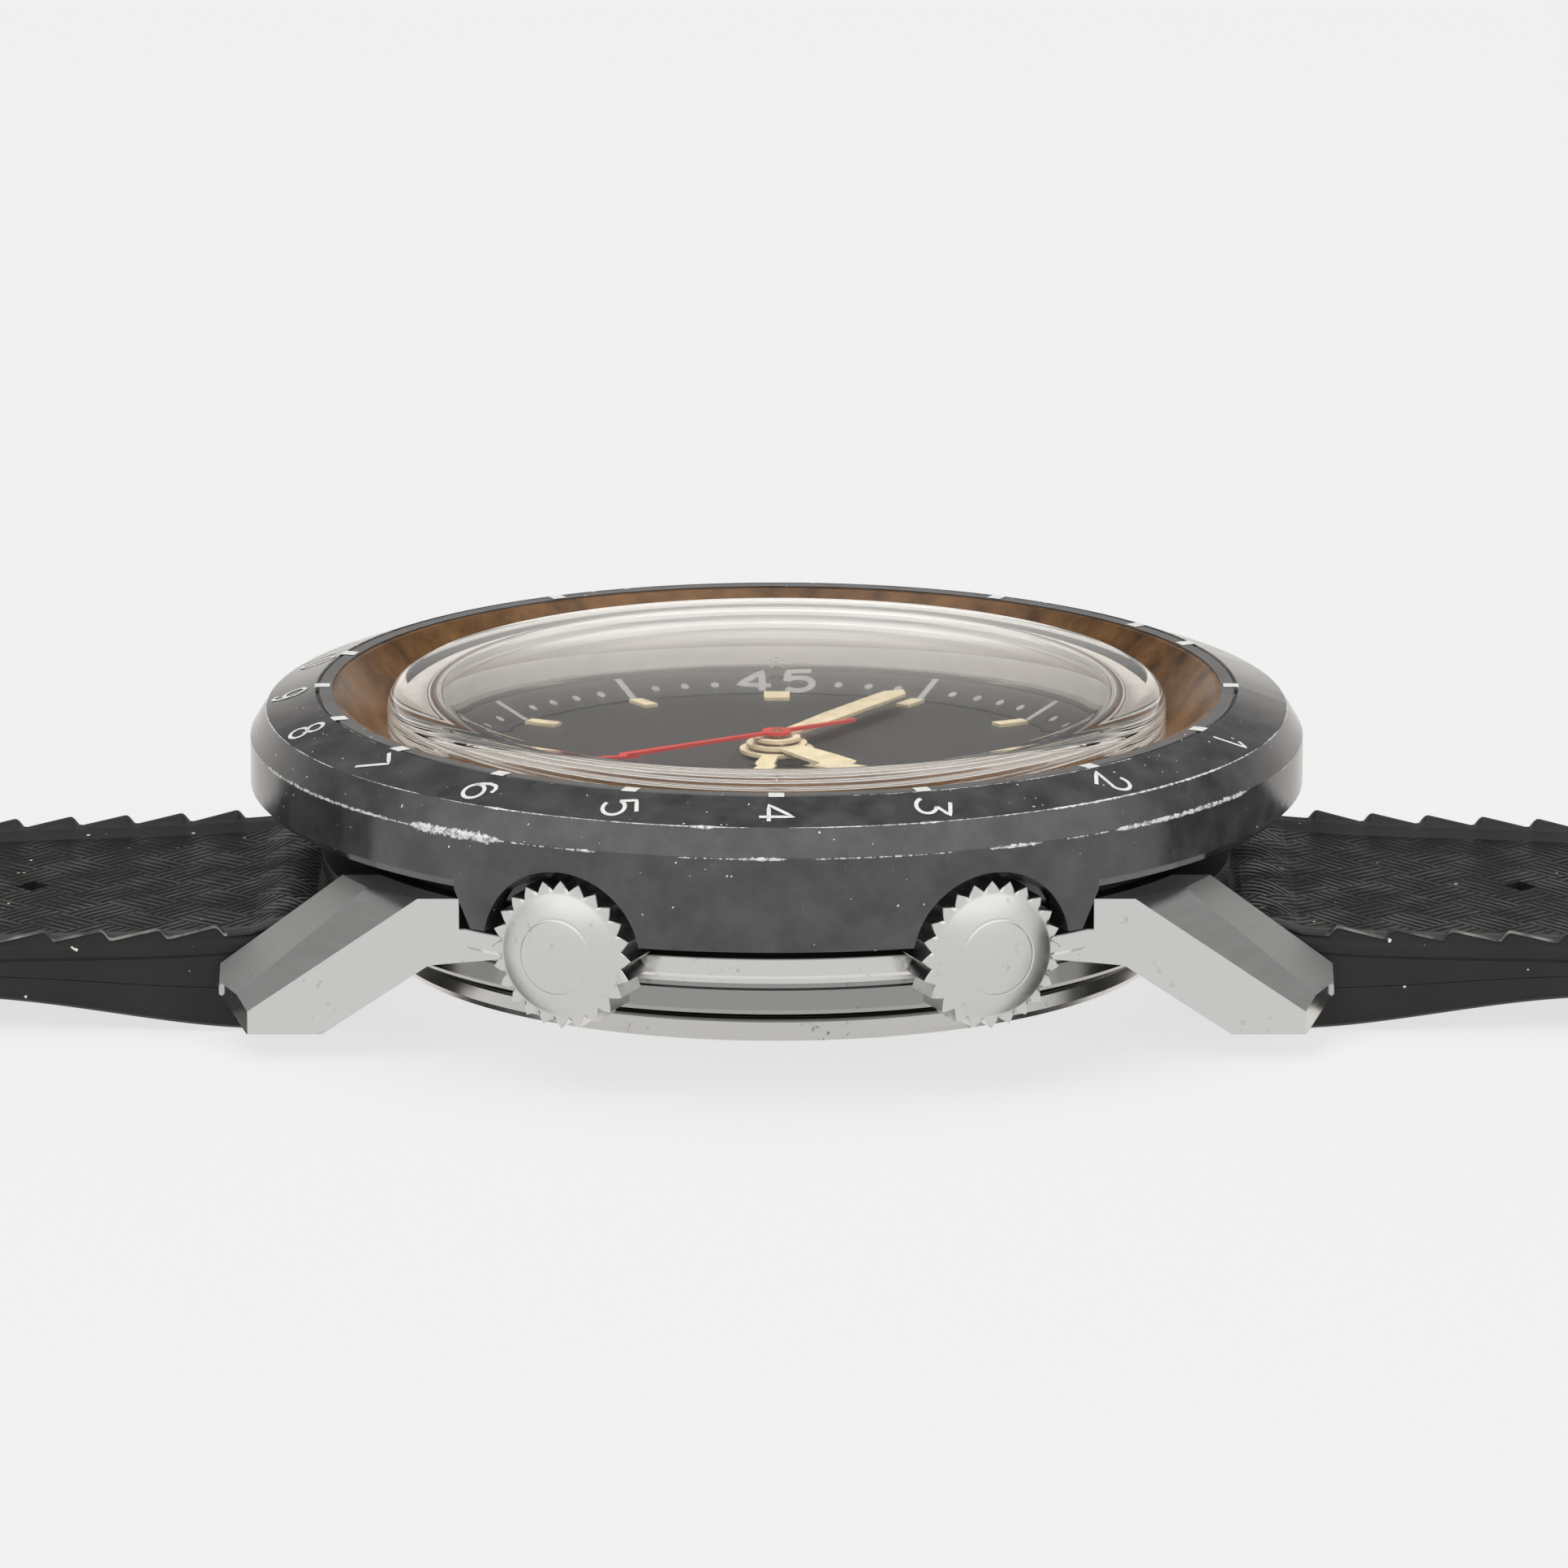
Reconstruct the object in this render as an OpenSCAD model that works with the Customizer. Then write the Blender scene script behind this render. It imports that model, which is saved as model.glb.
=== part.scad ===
// Mechanical two-crown alarm wristwatch on a moulded rubber strap.
// +X points to 12 o'clock, -Y to the crowns, +Z up through the dial.
// The origin is the centre of the case back's outer face.

/* [Bezel] */
// Distance that the brim stands out past the case
brim_overhang = 2.7; // [2.2:0.1:3.2]
// Height of the upright outer wall
bezel_wall_h = 2.15; // [1.6:0.05:2.6]
// Radial width of the outer chamfer
bezel_chamfer_w = 0.6; // [0.3:0.05:0.9]
// Height of the outer chamfer
bezel_chamfer_h = 1.0; // [0.6:0.05:1.4]
// Rise of the sloping number band
bezel_band_rise = 0.7; // [0.4:0.05:1]
// Width of the flat ring inside the turned groove
bezel_ring_w = 0.55; // [0.4:0.05:0.7]
// Depth of the turned groove
groove_depth = 0.12; // [0.08:0.02:0.2]
// Drop of the crown guard below the brim
guard_h = 1.4; // [0.8:0.1:1.8]
// Width of the crown guard outside each crown's cut-out
guard_end_w = 0.78; // [0.6:0.02:1.2]
// Thickness of the crown guard
guard_t = 1.3; // [0.9:0.1:1.6]
// Gap between a crown and its cut-out
crown_gap = 0.35; // [0.25:0.05:0.45]

/* [Case] */
// Diameter of the case middle
case_d = 34.6; // [34.2:0.1:35]
// Height of the bright band of the case middle
case_band_h = 1.95; // [1.8:0.05:2.2]
// Height of the lip below the band
case_lip_h = 0.4; // [0.3:0.05:0.5]
// Gap between the case top and the brim
brim_lift = 1.2; // [1:0.05:1.5]
// Distance between the inner faces of two lugs
lug_gap = 18.6; // [18.4:0.1:19]
// Width of one lug
lug_w = 3.6; // [3.2:0.1:4]
// Distance of the lug tips beyond the case
lug_out_len = 3.5; // [3.2:0.1:3.9]
// Distance of the spring bars beyond the case
bar_out = 1.1; // [1:0.05:1.3]
// Diameter of a spring bar's body
bar_d = 1.7; // [1.5:0.1:1.8]
// Diameter of a spring bar's tips
bar_tip_d = 0.8; // [0.7:0.05:0.9]

/* [Case back] */
// Thickness of the outer back
outer_back_h = 0.95; // [0.8:0.05:1.1]
// Step from the sounding back in to the outer back
outer_back_step = 1.1; // [0.9:0.1:1.3]
// Height of the open sound gap
sound_gap_h = 0.45; // [0.35:0.05:0.5]
// Height of the sounding back's rim
sound_back_h = 1.3; // [1.2:0.05:1.4]
// Step from the case in to the sounding back
sound_back_step = 1.3; // [1.2:0.05:1.5]
// Thickness of the sounding membrane
membrane_t = 0.25; // [0.15:0.05:0.3]

/* [Crystal] */
// Wall of the case neck round the crystal
neck_w = 1.6; // [1.4:0.05:1.8]
// Wall of the crystal
crystal_wall = 1.7; // [1.4:0.1:1.8]
// Height of the dome above the shoulder
dome_h = 0.85; // [0.5:0.05:1.2]
// Height of the shoulder above the crystal's foot
shoulder_h = 3.7; // [3.4:0.1:4]

/* [Dial and hands] */
// Gap between the dial's edge and the case bore
dial_gap = 0.3; // [0.2:0.05:0.4]
// Thickness of the dial
dial_t = 0.3; // [0.25:0.05:0.4]
// Length of the hour hand
hour_len = 6.6; // [6:0.1:7.2]
// Length of the minute hand
minute_len = 9.8; // [9:0.1:10.4]
// Length of the seconds hand
seconds_len = 10.6; // [10:0.1:11.2]
// Thickness of a hand
hand_t = 0.12; // [0.08:0.01:0.14]

/* [Crowns] */
// Diameter over the crown's teeth
crown_d = 5.6; // [5.4:0.1:5.8]
// Length of a crown without its dome
crown_t = 2.5; // [2.3:0.1:2.7]
// Teeth round a crown
crown_teeth = 24; // [16:2:30]
// Depth of the crown's teeth
tooth_depth = 0.34; // [0.3:0.02:0.45]
// Angle of each crown from 3 o'clock
crown_angle = 23.5; // [23:0.1:24]
// Height of the stems above the back
stem_z = 4.3; // [4.2:0.02:4.36]
// Diameter of a stem
stem_d = 1.2; // [1:0.05:1.3]
// Outer diameter of a crown tube
tube_d = 2.1; // [1.9:0.05:2.2]
// Distance that a crown pulls out
crown_pull = 1.0; // [0.6:0.1:1]

/* [Movement] */
// Width of the movement ring
holder_w = 1.2; // [1.1:0.05:1.4]
// Thickness of a bridge
bridge_t = 0.5; // [0.4:0.05:0.55]
// Running clearance of arbors and stems
run = 0.04; // [0.02:0.01:0.05]

/* [Strap] */
// Width of the strap between the lugs
strap_w = 18; // [17.6:0.1:18.2]
// Width of the strap at the buckle
strap_end_w = 16; // [15.6:0.1:16.2]
// Length of the half with holes
long_len = 115; // [110:1:120]
// Length of the half with the buckle
short_len = 72; // [70:1:80]
// Thickness of the flat part of the strap
strap_t = 2.1; // [2:0.05:2.3]
// Thickness of the strap round a spring bar
root_t = 4.2; // [4:0.05:4.3]
// Spacing of the saw-tooth edge
edge_pitch = 2.15; // [1.9:0.05:2.4]
// Height of the saw teeth
edge_rise = 0.35; // [0.3:0.05:0.55]
// Width of the saw-tooth border
edge_w = 1.2; // [0.9:0.1:1.4]
// Spacing of the strap holes
hole_pitch = 6.5; // [6:0.1:7]
// Number of adjusting holes
hole_count = 7; // [5:1:8]
// Wall of a keeper loop
keeper_wall = 0.95; // [0.85:0.05:1.1]
// Length of a keeper along the strap
keeper_len = 5; // [4:0.5:6]

/* [Buckle] */
// Thickness of the buckle frame
buckle_t = 1.8; // [1.6:0.1:2]
// Length of the buckle's open window
window_len = 7.5; // [7:0.5:8.5]
// Width of the buckle's tongue
tongue_w = 1.9; // [1.7:0.1:2.1]
// Diameter of the buckle bar
buckle_bar_d = 1.5; // [1.4:0.05:1.6]

/* [Hidden] */

$fn = 96;
eps = 0.01;
deep = 60;

// Heights, stacked from the back's outer face
sound_z = outer_back_h + sound_gap_h;
lip_z = sound_z + sound_back_h;
band_z = lip_z + case_lip_h;
case_top_z = band_z + case_band_h;
brim_z = case_top_z + brim_lift;
wall_top_z = brim_z + bezel_wall_h;
chamfer_top_z = wall_top_z + bezel_chamfer_h;
ring_z = chamfer_top_z + bezel_band_rise;

// Radii of the case and what sits in it
case_r = case_d / 2;
neck_r = case_r - 0.9;
neck_top_z = case_top_z + 2.5;
crystal_r = neck_r - neck_w;
crystal_foot_z = case_top_z + 1.55;
case_bore_r = crystal_r - 0.6;
movement_r = case_bore_r - holder_w;
dial_r = case_bore_r - dial_gap;
sound_back_r = case_r - sound_back_step;
outer_back_r = sound_back_r - outer_back_step;
lip_r = sound_back_r + 0.3;
bezel_r = case_r + brim_overhang;
bezel_inner_r = neck_r + 0.5;
groove_r = bezel_inner_r + bezel_ring_w;
guard_half_w = (bezel_r - 0.15) * sin(crown_angle) + crown_d / 2 + crown_gap + guard_end_w;

// Lugs: inner and outer faces, and the foot
lug_in = lug_gap / 2;
lug_out = lug_in + lug_w;
lug_reach = case_r + lug_out_len;
bar_x = case_r + bar_out;
lug_foot_z = -0.15;
bar_z = 1.0;
tip_depth = 0.8;

// Movement levels
plate_z = 2.8;
plate_top_z = 5.45;
ceiling_z = 4.66;
pocket_z = 3.6;
bridge_z = plate_z - bridge_t;
ratchet_z = bridge_z - 0.35;
ratchet_t = 0.3;
barrel_z = plate_z + 0.4;
barrel_h = 1.05;
cock_z = 1.75;
screw_head_h = 0.2;
screw_head_r = 0.6;
dial_z = plate_top_z + 0.7;
dial_top_z = dial_z + dial_t;

// Levels of the train's wheels: the undersides, stacked from the back
fourth_z = plate_z + 0.15;
escape_z = plate_z + 0.4;
third_z = plate_z + 0.65;
centre_z = plate_z + 1.6;
wheel_t = 0.15;
pivot_r = 0.1;

// The movement is drawn at 26 mm across and keeps its shape at other sizes
ms = movement_r / 13;
balance_r = 3.8 * ms;

// Gear train: teeth and pitch radii
centre_teeth = 80;
third_leaves = 10;
third_teeth = 75;
fourth_leaves = 10;
fourth_teeth = 70;
escape_leaves = 7;
escape_teeth = 15;
barrel_teeth = 72;
centre_leaves = 12;
train_dist = 4.0 * ms;
centre_r = train_dist * centre_teeth / (centre_teeth + third_leaves);
third_leaf_r = train_dist - centre_r;
third_r = train_dist * third_teeth / (third_teeth + fourth_leaves);
fourth_leaf_r = train_dist - third_r;
escape_dist = 4.0 * ms;
fourth_r = escape_dist * fourth_teeth / (fourth_teeth + escape_leaves);
escape_leaf_r = escape_dist - fourth_r;
escape_r = 1.6 * ms;
barrel_dist = 5.8 * ms;
barrel_r = barrel_dist * barrel_teeth / (barrel_teeth + centre_leaves);
centre_leaf_r = barrel_dist - barrel_r;
alarm_barrel_dist = 8.6 * ms;
alarm_barrel_r = 3.25 * ms;
alarm_barrel_teeth = 48;

// Winding works: a crown wheel turns a ratchet wheel on each barrel
wind_module = 0.2633 * ms;
crown_wheel_teeth = 22;
crown_wheel_dist = 8.8 * ms;
crown_wheel_r = wind_module * crown_wheel_teeth / 2;
time_ratchet_teeth = 38;
alarm_ratchet_teeth = 28;
pinion_teeth = 12;
face_r = 2.33 * ms;
pinion_r = face_r * pinion_teeth / crown_wheel_teeth;
face_half = 0.25;
pinion_in = crown_wheel_dist + face_r - 0.3;
pinion_len = 0.9;
square_w = 0.8;

// Motion works under the dial
motion_dist = 2.6 * ms;
alarm_wheel_r = 3 * ms;
alarm_wheel_teeth = 48;
cannon_teeth = 12;
minute_teeth = 36;
minute_leaves = 10;
hour_teeth = 40;
cannon_r = motion_dist * cannon_teeth / (cannon_teeth + minute_teeth);
minute_r = motion_dist - cannon_r;
minute_leaf_r = motion_dist * minute_leaves / (minute_leaves + hour_teeth);
hour_r = motion_dist - minute_leaf_r;
centre_arbor_r = 0.45;
fourth_arbor_r = 0.22;
cannon_out_r = 0.6;
hour_pipe_r = 0.84;
alarm_pipe_r = 1.08;

// Hands, from the lowest up
alarm_hand_z = dial_top_z + 0.25;
hour_hand_z = alarm_hand_z + 0.22;
minute_hand_z = hour_hand_z + 0.22;
seconds_hand_z = minute_hand_z + 0.22;

// Plan angles (degrees from +X) and places
time_angle = -90 - crown_angle;
alarm_angle = -90 + crown_angle;
function polar(r, a) = [r * cos(a), r * sin(a)];
function barrel_angle(d, teeth) =
    let (gap = wind_module * (crown_wheel_teeth + teeth) / 2, c = crown_wheel_dist)
    acos((d * d + c * c - gap * gap) / (2 * d * c));
time_barrel_at = polar(barrel_dist, time_angle - barrel_angle(barrel_dist, time_ratchet_teeth));
alarm_barrel_at =
    polar(alarm_barrel_dist, alarm_angle + barrel_angle(alarm_barrel_dist, alarm_ratchet_teeth));
third_at = polar(train_dist, 30);
escape_line = 97;
escape_at = polar(escape_dist, escape_line);
balance_line = 115;
pallet_dist = 2.45 * ms;
pallet_at = escape_at + polar(pallet_dist, balance_line);
balance_at = escape_at + polar(2 * pallet_dist, balance_line);
minute_wheel_at = polar(motion_dist, 200);
hammer_at = [7.4, 5.2] * ms;
post_at = polar(11.2 * ms, 62);
post_r = 0.5;
post_top_z = pocket_z - 0.3;
hammer_line = post_at - hammer_at;
hammer_angle = atan2(hammer_line[1], hammer_line[0]) - 15;
hammer_reach = norm(hammer_line);
cock_foot_at = polar(11.2 * ms, 146);

jewel_r = 0.45;
screw_r = 0.35;
screw_ring = movement_r - 1.05;
screw_at = concat([for (a = [165, 195, -4, -42, 12, 38]) polar(screw_ring, a)], [cock_foot_at]);

// Crowns along their stems
crown_in = case_r + 0.45;
crown_out = crown_in + crown_t;
stem_in = crown_wheel_dist - 1.2;
dome_r = 2.1;
gasket_t = 0.5;
tube_out = crown_in + crown_pull + gasket_t + 0.1;
gasket_out_r = 1.7;

// Strap
hub_r = root_t / 2;
floor_z = bar_z - hub_r;
flat_from = 27;
strap_hole_r = bar_d / 2 + 0.05;
end_hub_r = 1.6;
buckle_x = bar_x + short_len;

end_gap = 0.3;
buckle_in_w = strap_end_w + 2 * end_gap;
keeper_gap = 0.25;
keeper_room = 2.6;
lift = keeper_wall + keeper_gap;
short_top = floor_z + lift + strap_t;
buckle_z = short_top - strap_t / 2;
fixed_keeper_x = buckle_x - 8;
free_keeper_x = fixed_keeper_x - 14;

// A ring between two radii and two heights
module ring(r_in, r_out, z0, z1) {
    translate([0, 0, z0]) difference() {
        cylinder(h = z1 - z0, r = r_out);
        translate([0, 0, -eps]) cylinder(h = z1 - z0 + 2 * eps, r = r_in);
    }
}

// Toothed outline: straight-sided teeth, the first tip on the given angle
function toothed(n, r_root, r_tip, turn) =
    [for (i = [0 : 2 * n - 1]) polar(i % 2 == 0 ? r_tip : r_root, turn + i * 180 / n)];

// Wheel or pinion of n teeth on a pitch radius, with addendum a share of the pitch
module gear(n, r, z0, z1, turn = 0) {
    add = 0.3 * PI * r / n;
    translate([0, 0, z0])
        linear_extrude(z1 - z0) polygon(toothed(n, r - 1.25 * add, r + 0.85 * add, turn));
}

// Round arbor with a thinner pivot at each end
module arbor(r, z0, z1, pivot_r, low, high) {
    translate([0, 0, z0]) cylinder(h = z1 - z0, r = r, $fn = 24);
    translate([0, 0, z0 - low]) cylinder(h = z1 - z0 + low + high, r = pivot_r, $fn = 24);
}

// Places its children at a plan position
module at(p) translate([p[0], p[1], 0]) children();

// Lays children drawn along +Z onto the stem line at a plan angle
module along_stem(angle, from) {
    rotate([0, 0, angle]) translate([from, 0, stem_z]) rotate([0, 90, 0]) children();
}

// A block that lies above the plane through three points, on its upper side
module block_above(a, b, c) {
    n0 = cross(b - a, c - a);
    n = (n0[2] < 0 ? -1 : 1) * n0 / norm(n0);
    translate(a) rotate([0, acos(n[2]), atan2(n[1], n[0])])
        translate([-deep / 2, -deep / 2, 0]) cube([deep, deep, deep]);
}

// ---------------------------------------------------------------- case

// One faceted lug at the +X +Y corner
module lug() {
    shoulder_x = lug_reach - 4.6;
    top_in = [shoulder_x, lug_in, case_top_z];
    top_out = [shoulder_x - 1.9, lug_out, case_top_z];
    knee = [lug_reach - 1.7, lug_in, 2.9];
    flank_top = [shoulder_x - 2.9, lug_out, case_top_z];
    flank_end = [lug_reach - 1.4, lug_out, 0.9];
    ridge_end = [lug_reach - 0.75, lug_in + 2.2, 1.5];
    difference() {
        translate([0, lug_out, 0]) rotate([90, 0, 0]) linear_extrude(lug_w) polygon([
            [case_r - 7.8, case_top_z], [shoulder_x, case_top_z], [lug_reach - 1.6, 3.0],
            [lug_reach, 1.75], [lug_reach, 0.8], [lug_reach - 1.1, lug_foot_z],
            [lug_reach - 3.9, lug_foot_z], [case_r - 4.4, band_z - 0.6],
            [case_r - 7.8, band_z - 0.3]]);
        block_above(top_in, top_out, knee);
        block_above(flank_top, flank_end, ridge_end);
        translate([lug_reach - 0.1, lug_in + 1.3, -1]) rotate([0, 0, 24.5])
            cube([4, 8, 8]);
        translate([bar_x, lug_in - eps, bar_z]) rotate([-90, 0, 0])
            cylinder(h = tip_depth + 0.2, d = bar_tip_d + 2 * run, $fn = 32);
    }
}

module case_middle() {
    core_r = case_bore_r - 2;
    color("silver") difference() {
        union() {
            rotate_extrude() polygon([
                [core_r, lip_z], [lip_r, lip_z], [lip_r, band_z], [case_r - 0.15, band_z],
                [case_r, band_z + 0.15], [case_r, case_top_z - 0.15], [case_r - 0.15, case_top_z],
                [neck_r, case_top_z], [neck_r, neck_top_z], [core_r, neck_top_z]]);
            for (x = [0, 1], y = [0, 1])
                mirror([x, 0, 0]) mirror([0, y, 0]) lug();
        }
        translate([0, 0, -1]) cylinder(h = crystal_foot_z + 1 - 0.3, r = case_bore_r);
        translate([0, 0, -1]) cylinder(h = lip_z + 1, r = sound_back_r + 0.05);
        translate([0, 0, crystal_foot_z - 0.6]) cylinder(h = deep, r = dial_r + 0.1);
        translate([0, 0, crystal_foot_z]) cylinder(h = deep, r = crystal_r + 0.01);
        for (a = [time_angle, alarm_angle])
            along_stem(a, movement_r) cylinder(h = deep, d = tube_d);
    }
}

module bezel() {
    hub_in = neck_r + 0.05;
    seat_z = neck_top_z + 0.1;
    guard_in = bezel_r - guard_t;
    color("dimgray") difference() {
        union() {
            rotate_extrude() polygon([
                [hub_in, case_top_z + 0.02], [bezel_inner_r, case_top_z + 0.02],
                [bezel_inner_r + 0.2, brim_z], [bezel_r - 0.35, brim_z],
                [bezel_r, brim_z + 0.35], [bezel_r, wall_top_z],
                [bezel_r - bezel_chamfer_w, chamfer_top_z],
                [groove_r + 0.08, ring_z], [groove_r, ring_z - groove_depth],
                [groove_r - 0.08, ring_z], [bezel_inner_r, ring_z],
                [bezel_inner_r, seat_z], [hub_in, seat_z]]);
            intersection() {
                ring(guard_in, bezel_r, brim_z - guard_h, brim_z + 0.5);
                rotate([90, 0, 0]) linear_extrude(deep) polygon([
                    [-guard_half_w, brim_z + 0.5], [-guard_half_w, brim_z],
                    [0.6 - guard_half_w, brim_z - guard_h], [guard_half_w - 0.6, brim_z - guard_h],
                    [guard_half_w, brim_z], [guard_half_w, brim_z + 0.5]]);
            }
        }
        for (a = [time_angle, alarm_angle]) {
            along_stem(a, neck_r + 0.7) cylinder(h = deep, r = crown_d / 2 + crown_gap);
            along_stem(a, neck_r - 0.5) cylinder(h = 2, d = tube_d + 0.15);
        }
    }
}

// Lacquered cone between the crystal and the bezel's lip
module flange_ring() {
    foot_z = neck_top_z + 0.1;
    color("peru") rotate_extrude() polygon([
        [crystal_r + 0.06, foot_z], [bezel_inner_r, foot_z], [bezel_inner_r, ring_z - 0.05],
        [bezel_inner_r - 0.2, ring_z - 0.05], [crystal_r + 0.06, foot_z + 0.35]]);
}

// Dome of a given rise over a given radius: points from the rim to the centre
function dome(r, z, rise, n) =
    let (ball = (r * r + rise * rise) / (2 * rise), top = asin(r / ball))
    [for (i = [0 : n]) let (a = top * (1 - i / n)) [ball * sin(a), z + rise - ball * (1 - cos(a))]];
// Quarter round from the wall to the shoulder
function shoulder(r, z, c, n) =
    [for (i = [0 : n]) let (a = 90 * i / n) [r - c + c * cos(a), z - c + c * sin(a)]];

module crystal() {
    soft = 0.9;
    shoulder_z = crystal_foot_z + shoulder_h;
    in_r = crystal_r - crystal_wall;
    in_z = shoulder_z - crystal_wall + 0.15;
    inner = concat(shoulder(in_r, in_z, 0.7, 5), dome(in_r - 0.7, in_z, dome_h * 0.85, 10));
    color("white", 0.3) rotate_extrude() polygon(concat(
        [[in_r, crystal_foot_z], [crystal_r, crystal_foot_z]],
        shoulder(crystal_r, shoulder_z, soft, 8),
        dome(crystal_r - soft, shoulder_z, dome_h, 12),
        [for (i = [len(inner) - 1 : -1 : 0]) inner[i]]));
}

module tension_ring() {
    in_r = crystal_r - crystal_wall;
    color("silver") ring(in_r - 0.45, in_r, crystal_foot_z, crystal_foot_z + 0.7);
}

module sound_back() {
    r = sound_back_r;
    color("silver") difference() {
        union() {
            rotate_extrude() polygon([
                [0, sound_z], [r - 0.2, sound_z], [r, sound_z + 0.2],
                [r, lip_z - 0.35], [r - 0.1, lip_z - 0.3], [r, lip_z - 0.25], [r, lip_z],
                [case_bore_r - 0.02, lip_z], [case_bore_r - 0.02, lip_z + 0.45],
                [case_bore_r - 0.6, lip_z + 0.45], [case_bore_r - 0.6, sound_z + membrane_t],
                [0, sound_z + membrane_t]]);
            // Post that the alarm hammer strikes
            hole_at(post_at, sound_z + membrane_t - eps, post_top_z, post_r);
        }
        // Seat of the back gasket
        ring(case_bore_r + 0.08, case_bore_r + 0.92, lip_z - 0.27, lip_z + eps);
    }
}

module outer_back() {
    r = outer_back_r;
    color("silver") difference() {
        union() {
            rotate_extrude() polygon([
                [0, 0], [r - 0.45, 0], [r - 0.12, 0.12], [r, 0.35], [r, outer_back_h - 0.1],
                [r - 0.1, outer_back_h], [0, outer_back_h]]);
            // Raised ring that carries the lid on the sounding back
            ring(r - 1.4, r - 0.4, outer_back_h - eps, sound_z);
        }
        // Sound holes through the lid
        for (i = [0 : 7]) at(polar(r * 0.72, i * 45 + 22.5))
            translate([0, 0, -eps]) cylinder(h = sound_z, r = 0.6, $fn = 32);
        translate([0, 0, outer_back_h - 0.35]) cylinder(h = 1, r = r - 2.2);
    }
}

module back_gasket() {
    color("black") ring(case_bore_r + 0.1, case_bore_r + 0.9, lip_z - 0.25, lip_z);
}

module movement_ring() {
    color("gray") difference() {
        ring(movement_r + 0.03, case_bore_r - 0.03, lip_z + 0.65, dial_z);
        for (a = [time_angle, alarm_angle])
            along_stem(a, movement_r - 1) cylinder(h = 4, d = tube_d + 0.1);
    }
}

// ---------------------------------------------------------------- crowns

module crown_tube(angle) {
    color("silver") along_stem(angle, movement_r + 0.3) difference() {
        cylinder(h = tube_out - movement_r - 0.3, d = tube_d);
        translate([0, 0, -eps]) cylinder(h = deep, d = stem_d + 2 * run);
    }
}

// Crown with a saw-cut rim, a domed cap and a turned ring on the cap
module crown(angle) {
    r = crown_d / 2;
    color("silver") along_stem(angle, crown_in) difference() {
        union() {
            intersection() {
                linear_extrude(crown_t) polygon(toothed(crown_teeth, r - tooth_depth, r, 0));
                rotate_extrude() polygon([
                    [0, 0], [r - 0.3, 0], [r + 0.1, 0.33], [r + 0.1, crown_t - 0.62],
                    [r - 0.75, crown_t], [0, crown_t]]);
            }
            rotate_extrude() polygon(concat(
                [[0, crown_t - 0.3], [r - 0.85, crown_t - 0.3]],
                dome(r - 0.85, crown_t, 0.3, 5)));
        }
        translate([0, 0, -eps])
            cylinder(h = tube_out - crown_in + 0.15, r = gasket_out_r + run);
        translate([0, 0, -eps]) cylinder(h = crown_t - 0.3, d = stem_d, $fn = 48);
        translate([0, 0, crown_t + 0.08]) difference() {
            cylinder(h = 1, r = dome_r * 0.74);
            translate([0, 0, -eps]) cylinder(h = 1.1, r = dome_r * 0.66);
        }
    }
}

module crown_gasket(angle) {
    color("black") along_stem(angle, crown_in + 0.05) difference() {
        cylinder(h = gasket_t, r = gasket_out_r);
        translate([0, 0, -eps]) cylinder(h = 1, r = tube_d / 2 + run);
    }
}

// Stem with a square inner end that slides in the winding pinion
module stem(angle) {
    square_from = pinion_in - 0.3;
    color("gray") {
        along_stem(angle, pinion_in + pinion_len + 0.1)
            cylinder(h = crown_in + crown_t - 0.32 - pinion_in - pinion_len - 0.1, d = stem_d);
        along_stem(angle, square_from - 1.4)
            translate([-square_w / 2, -square_w / 2, 0])
                cube([square_w, square_w, pinion_len + 1.9]);
        along_stem(angle, stem_in) cylinder(h = square_from - stem_in - 1.4 + eps, r = 0.3);
    }
}

module winding_pinion(angle) {
    gap_w = square_w + 2 * run;
    color("goldenrod") along_stem(angle, pinion_in) difference() {
        gear(pinion_teeth, pinion_r, 0, pinion_len, 0);
        translate([-gap_w / 2, -gap_w / 2, -eps]) cube([gap_w, gap_w, 2]);
    }
}

// Flat wheel with spur teeth at its edge and face teeth that the pinion drives
module crown_wheel(angle, barrel_at) {
    here = polar(crown_wheel_dist, angle);
    to_barrel = atan2(barrel_at[1] - here[1], barrel_at[0] - here[0]);
    face_z = stem_z - pinion_r;
    color("goldenrod") at(here) difference() {
        union() {
            gear(crown_wheel_teeth, crown_wheel_r, ratchet_z, ratchet_z + ratchet_t, to_barrel);
            ring(0.3, face_r + face_half + 0.05, ratchet_z + ratchet_t - eps, face_z - 0.2);
            for (i = [0 : crown_wheel_teeth - 1])
                rotate([0, 0, angle + (i + 0.5) * 360 / crown_wheel_teeth])
                    translate([face_r - face_half, 0, face_z]) rotate([90, 0, 90])
                        linear_extrude(2 * face_half)
                            polygon([[-0.24, -0.25], [0.24, -0.25], [0.04, 0.13], [-0.04, 0.13]]);
        }
        translate([0, 0, ratchet_z - eps]) cylinder(h = 2, r = 0.5, $fn = 32);
    }
}

// ---------------------------------------------------------------- movement

// Outline of a bridge: a polygon kept inside the movement's rim
module bridge(points) {
    intersection() {
        translate([0, 0, bridge_z]) cylinder(h = bridge_t, r = movement_r - 0.1);
        linear_extrude(plate_z) polygon(points * ms);
    }
}

module hole_at(p, z0, z1, r) {
    at(p) translate([0, 0, z0]) cylinder(h = z1 - z0, r = r, $fn = 32);
}

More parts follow.
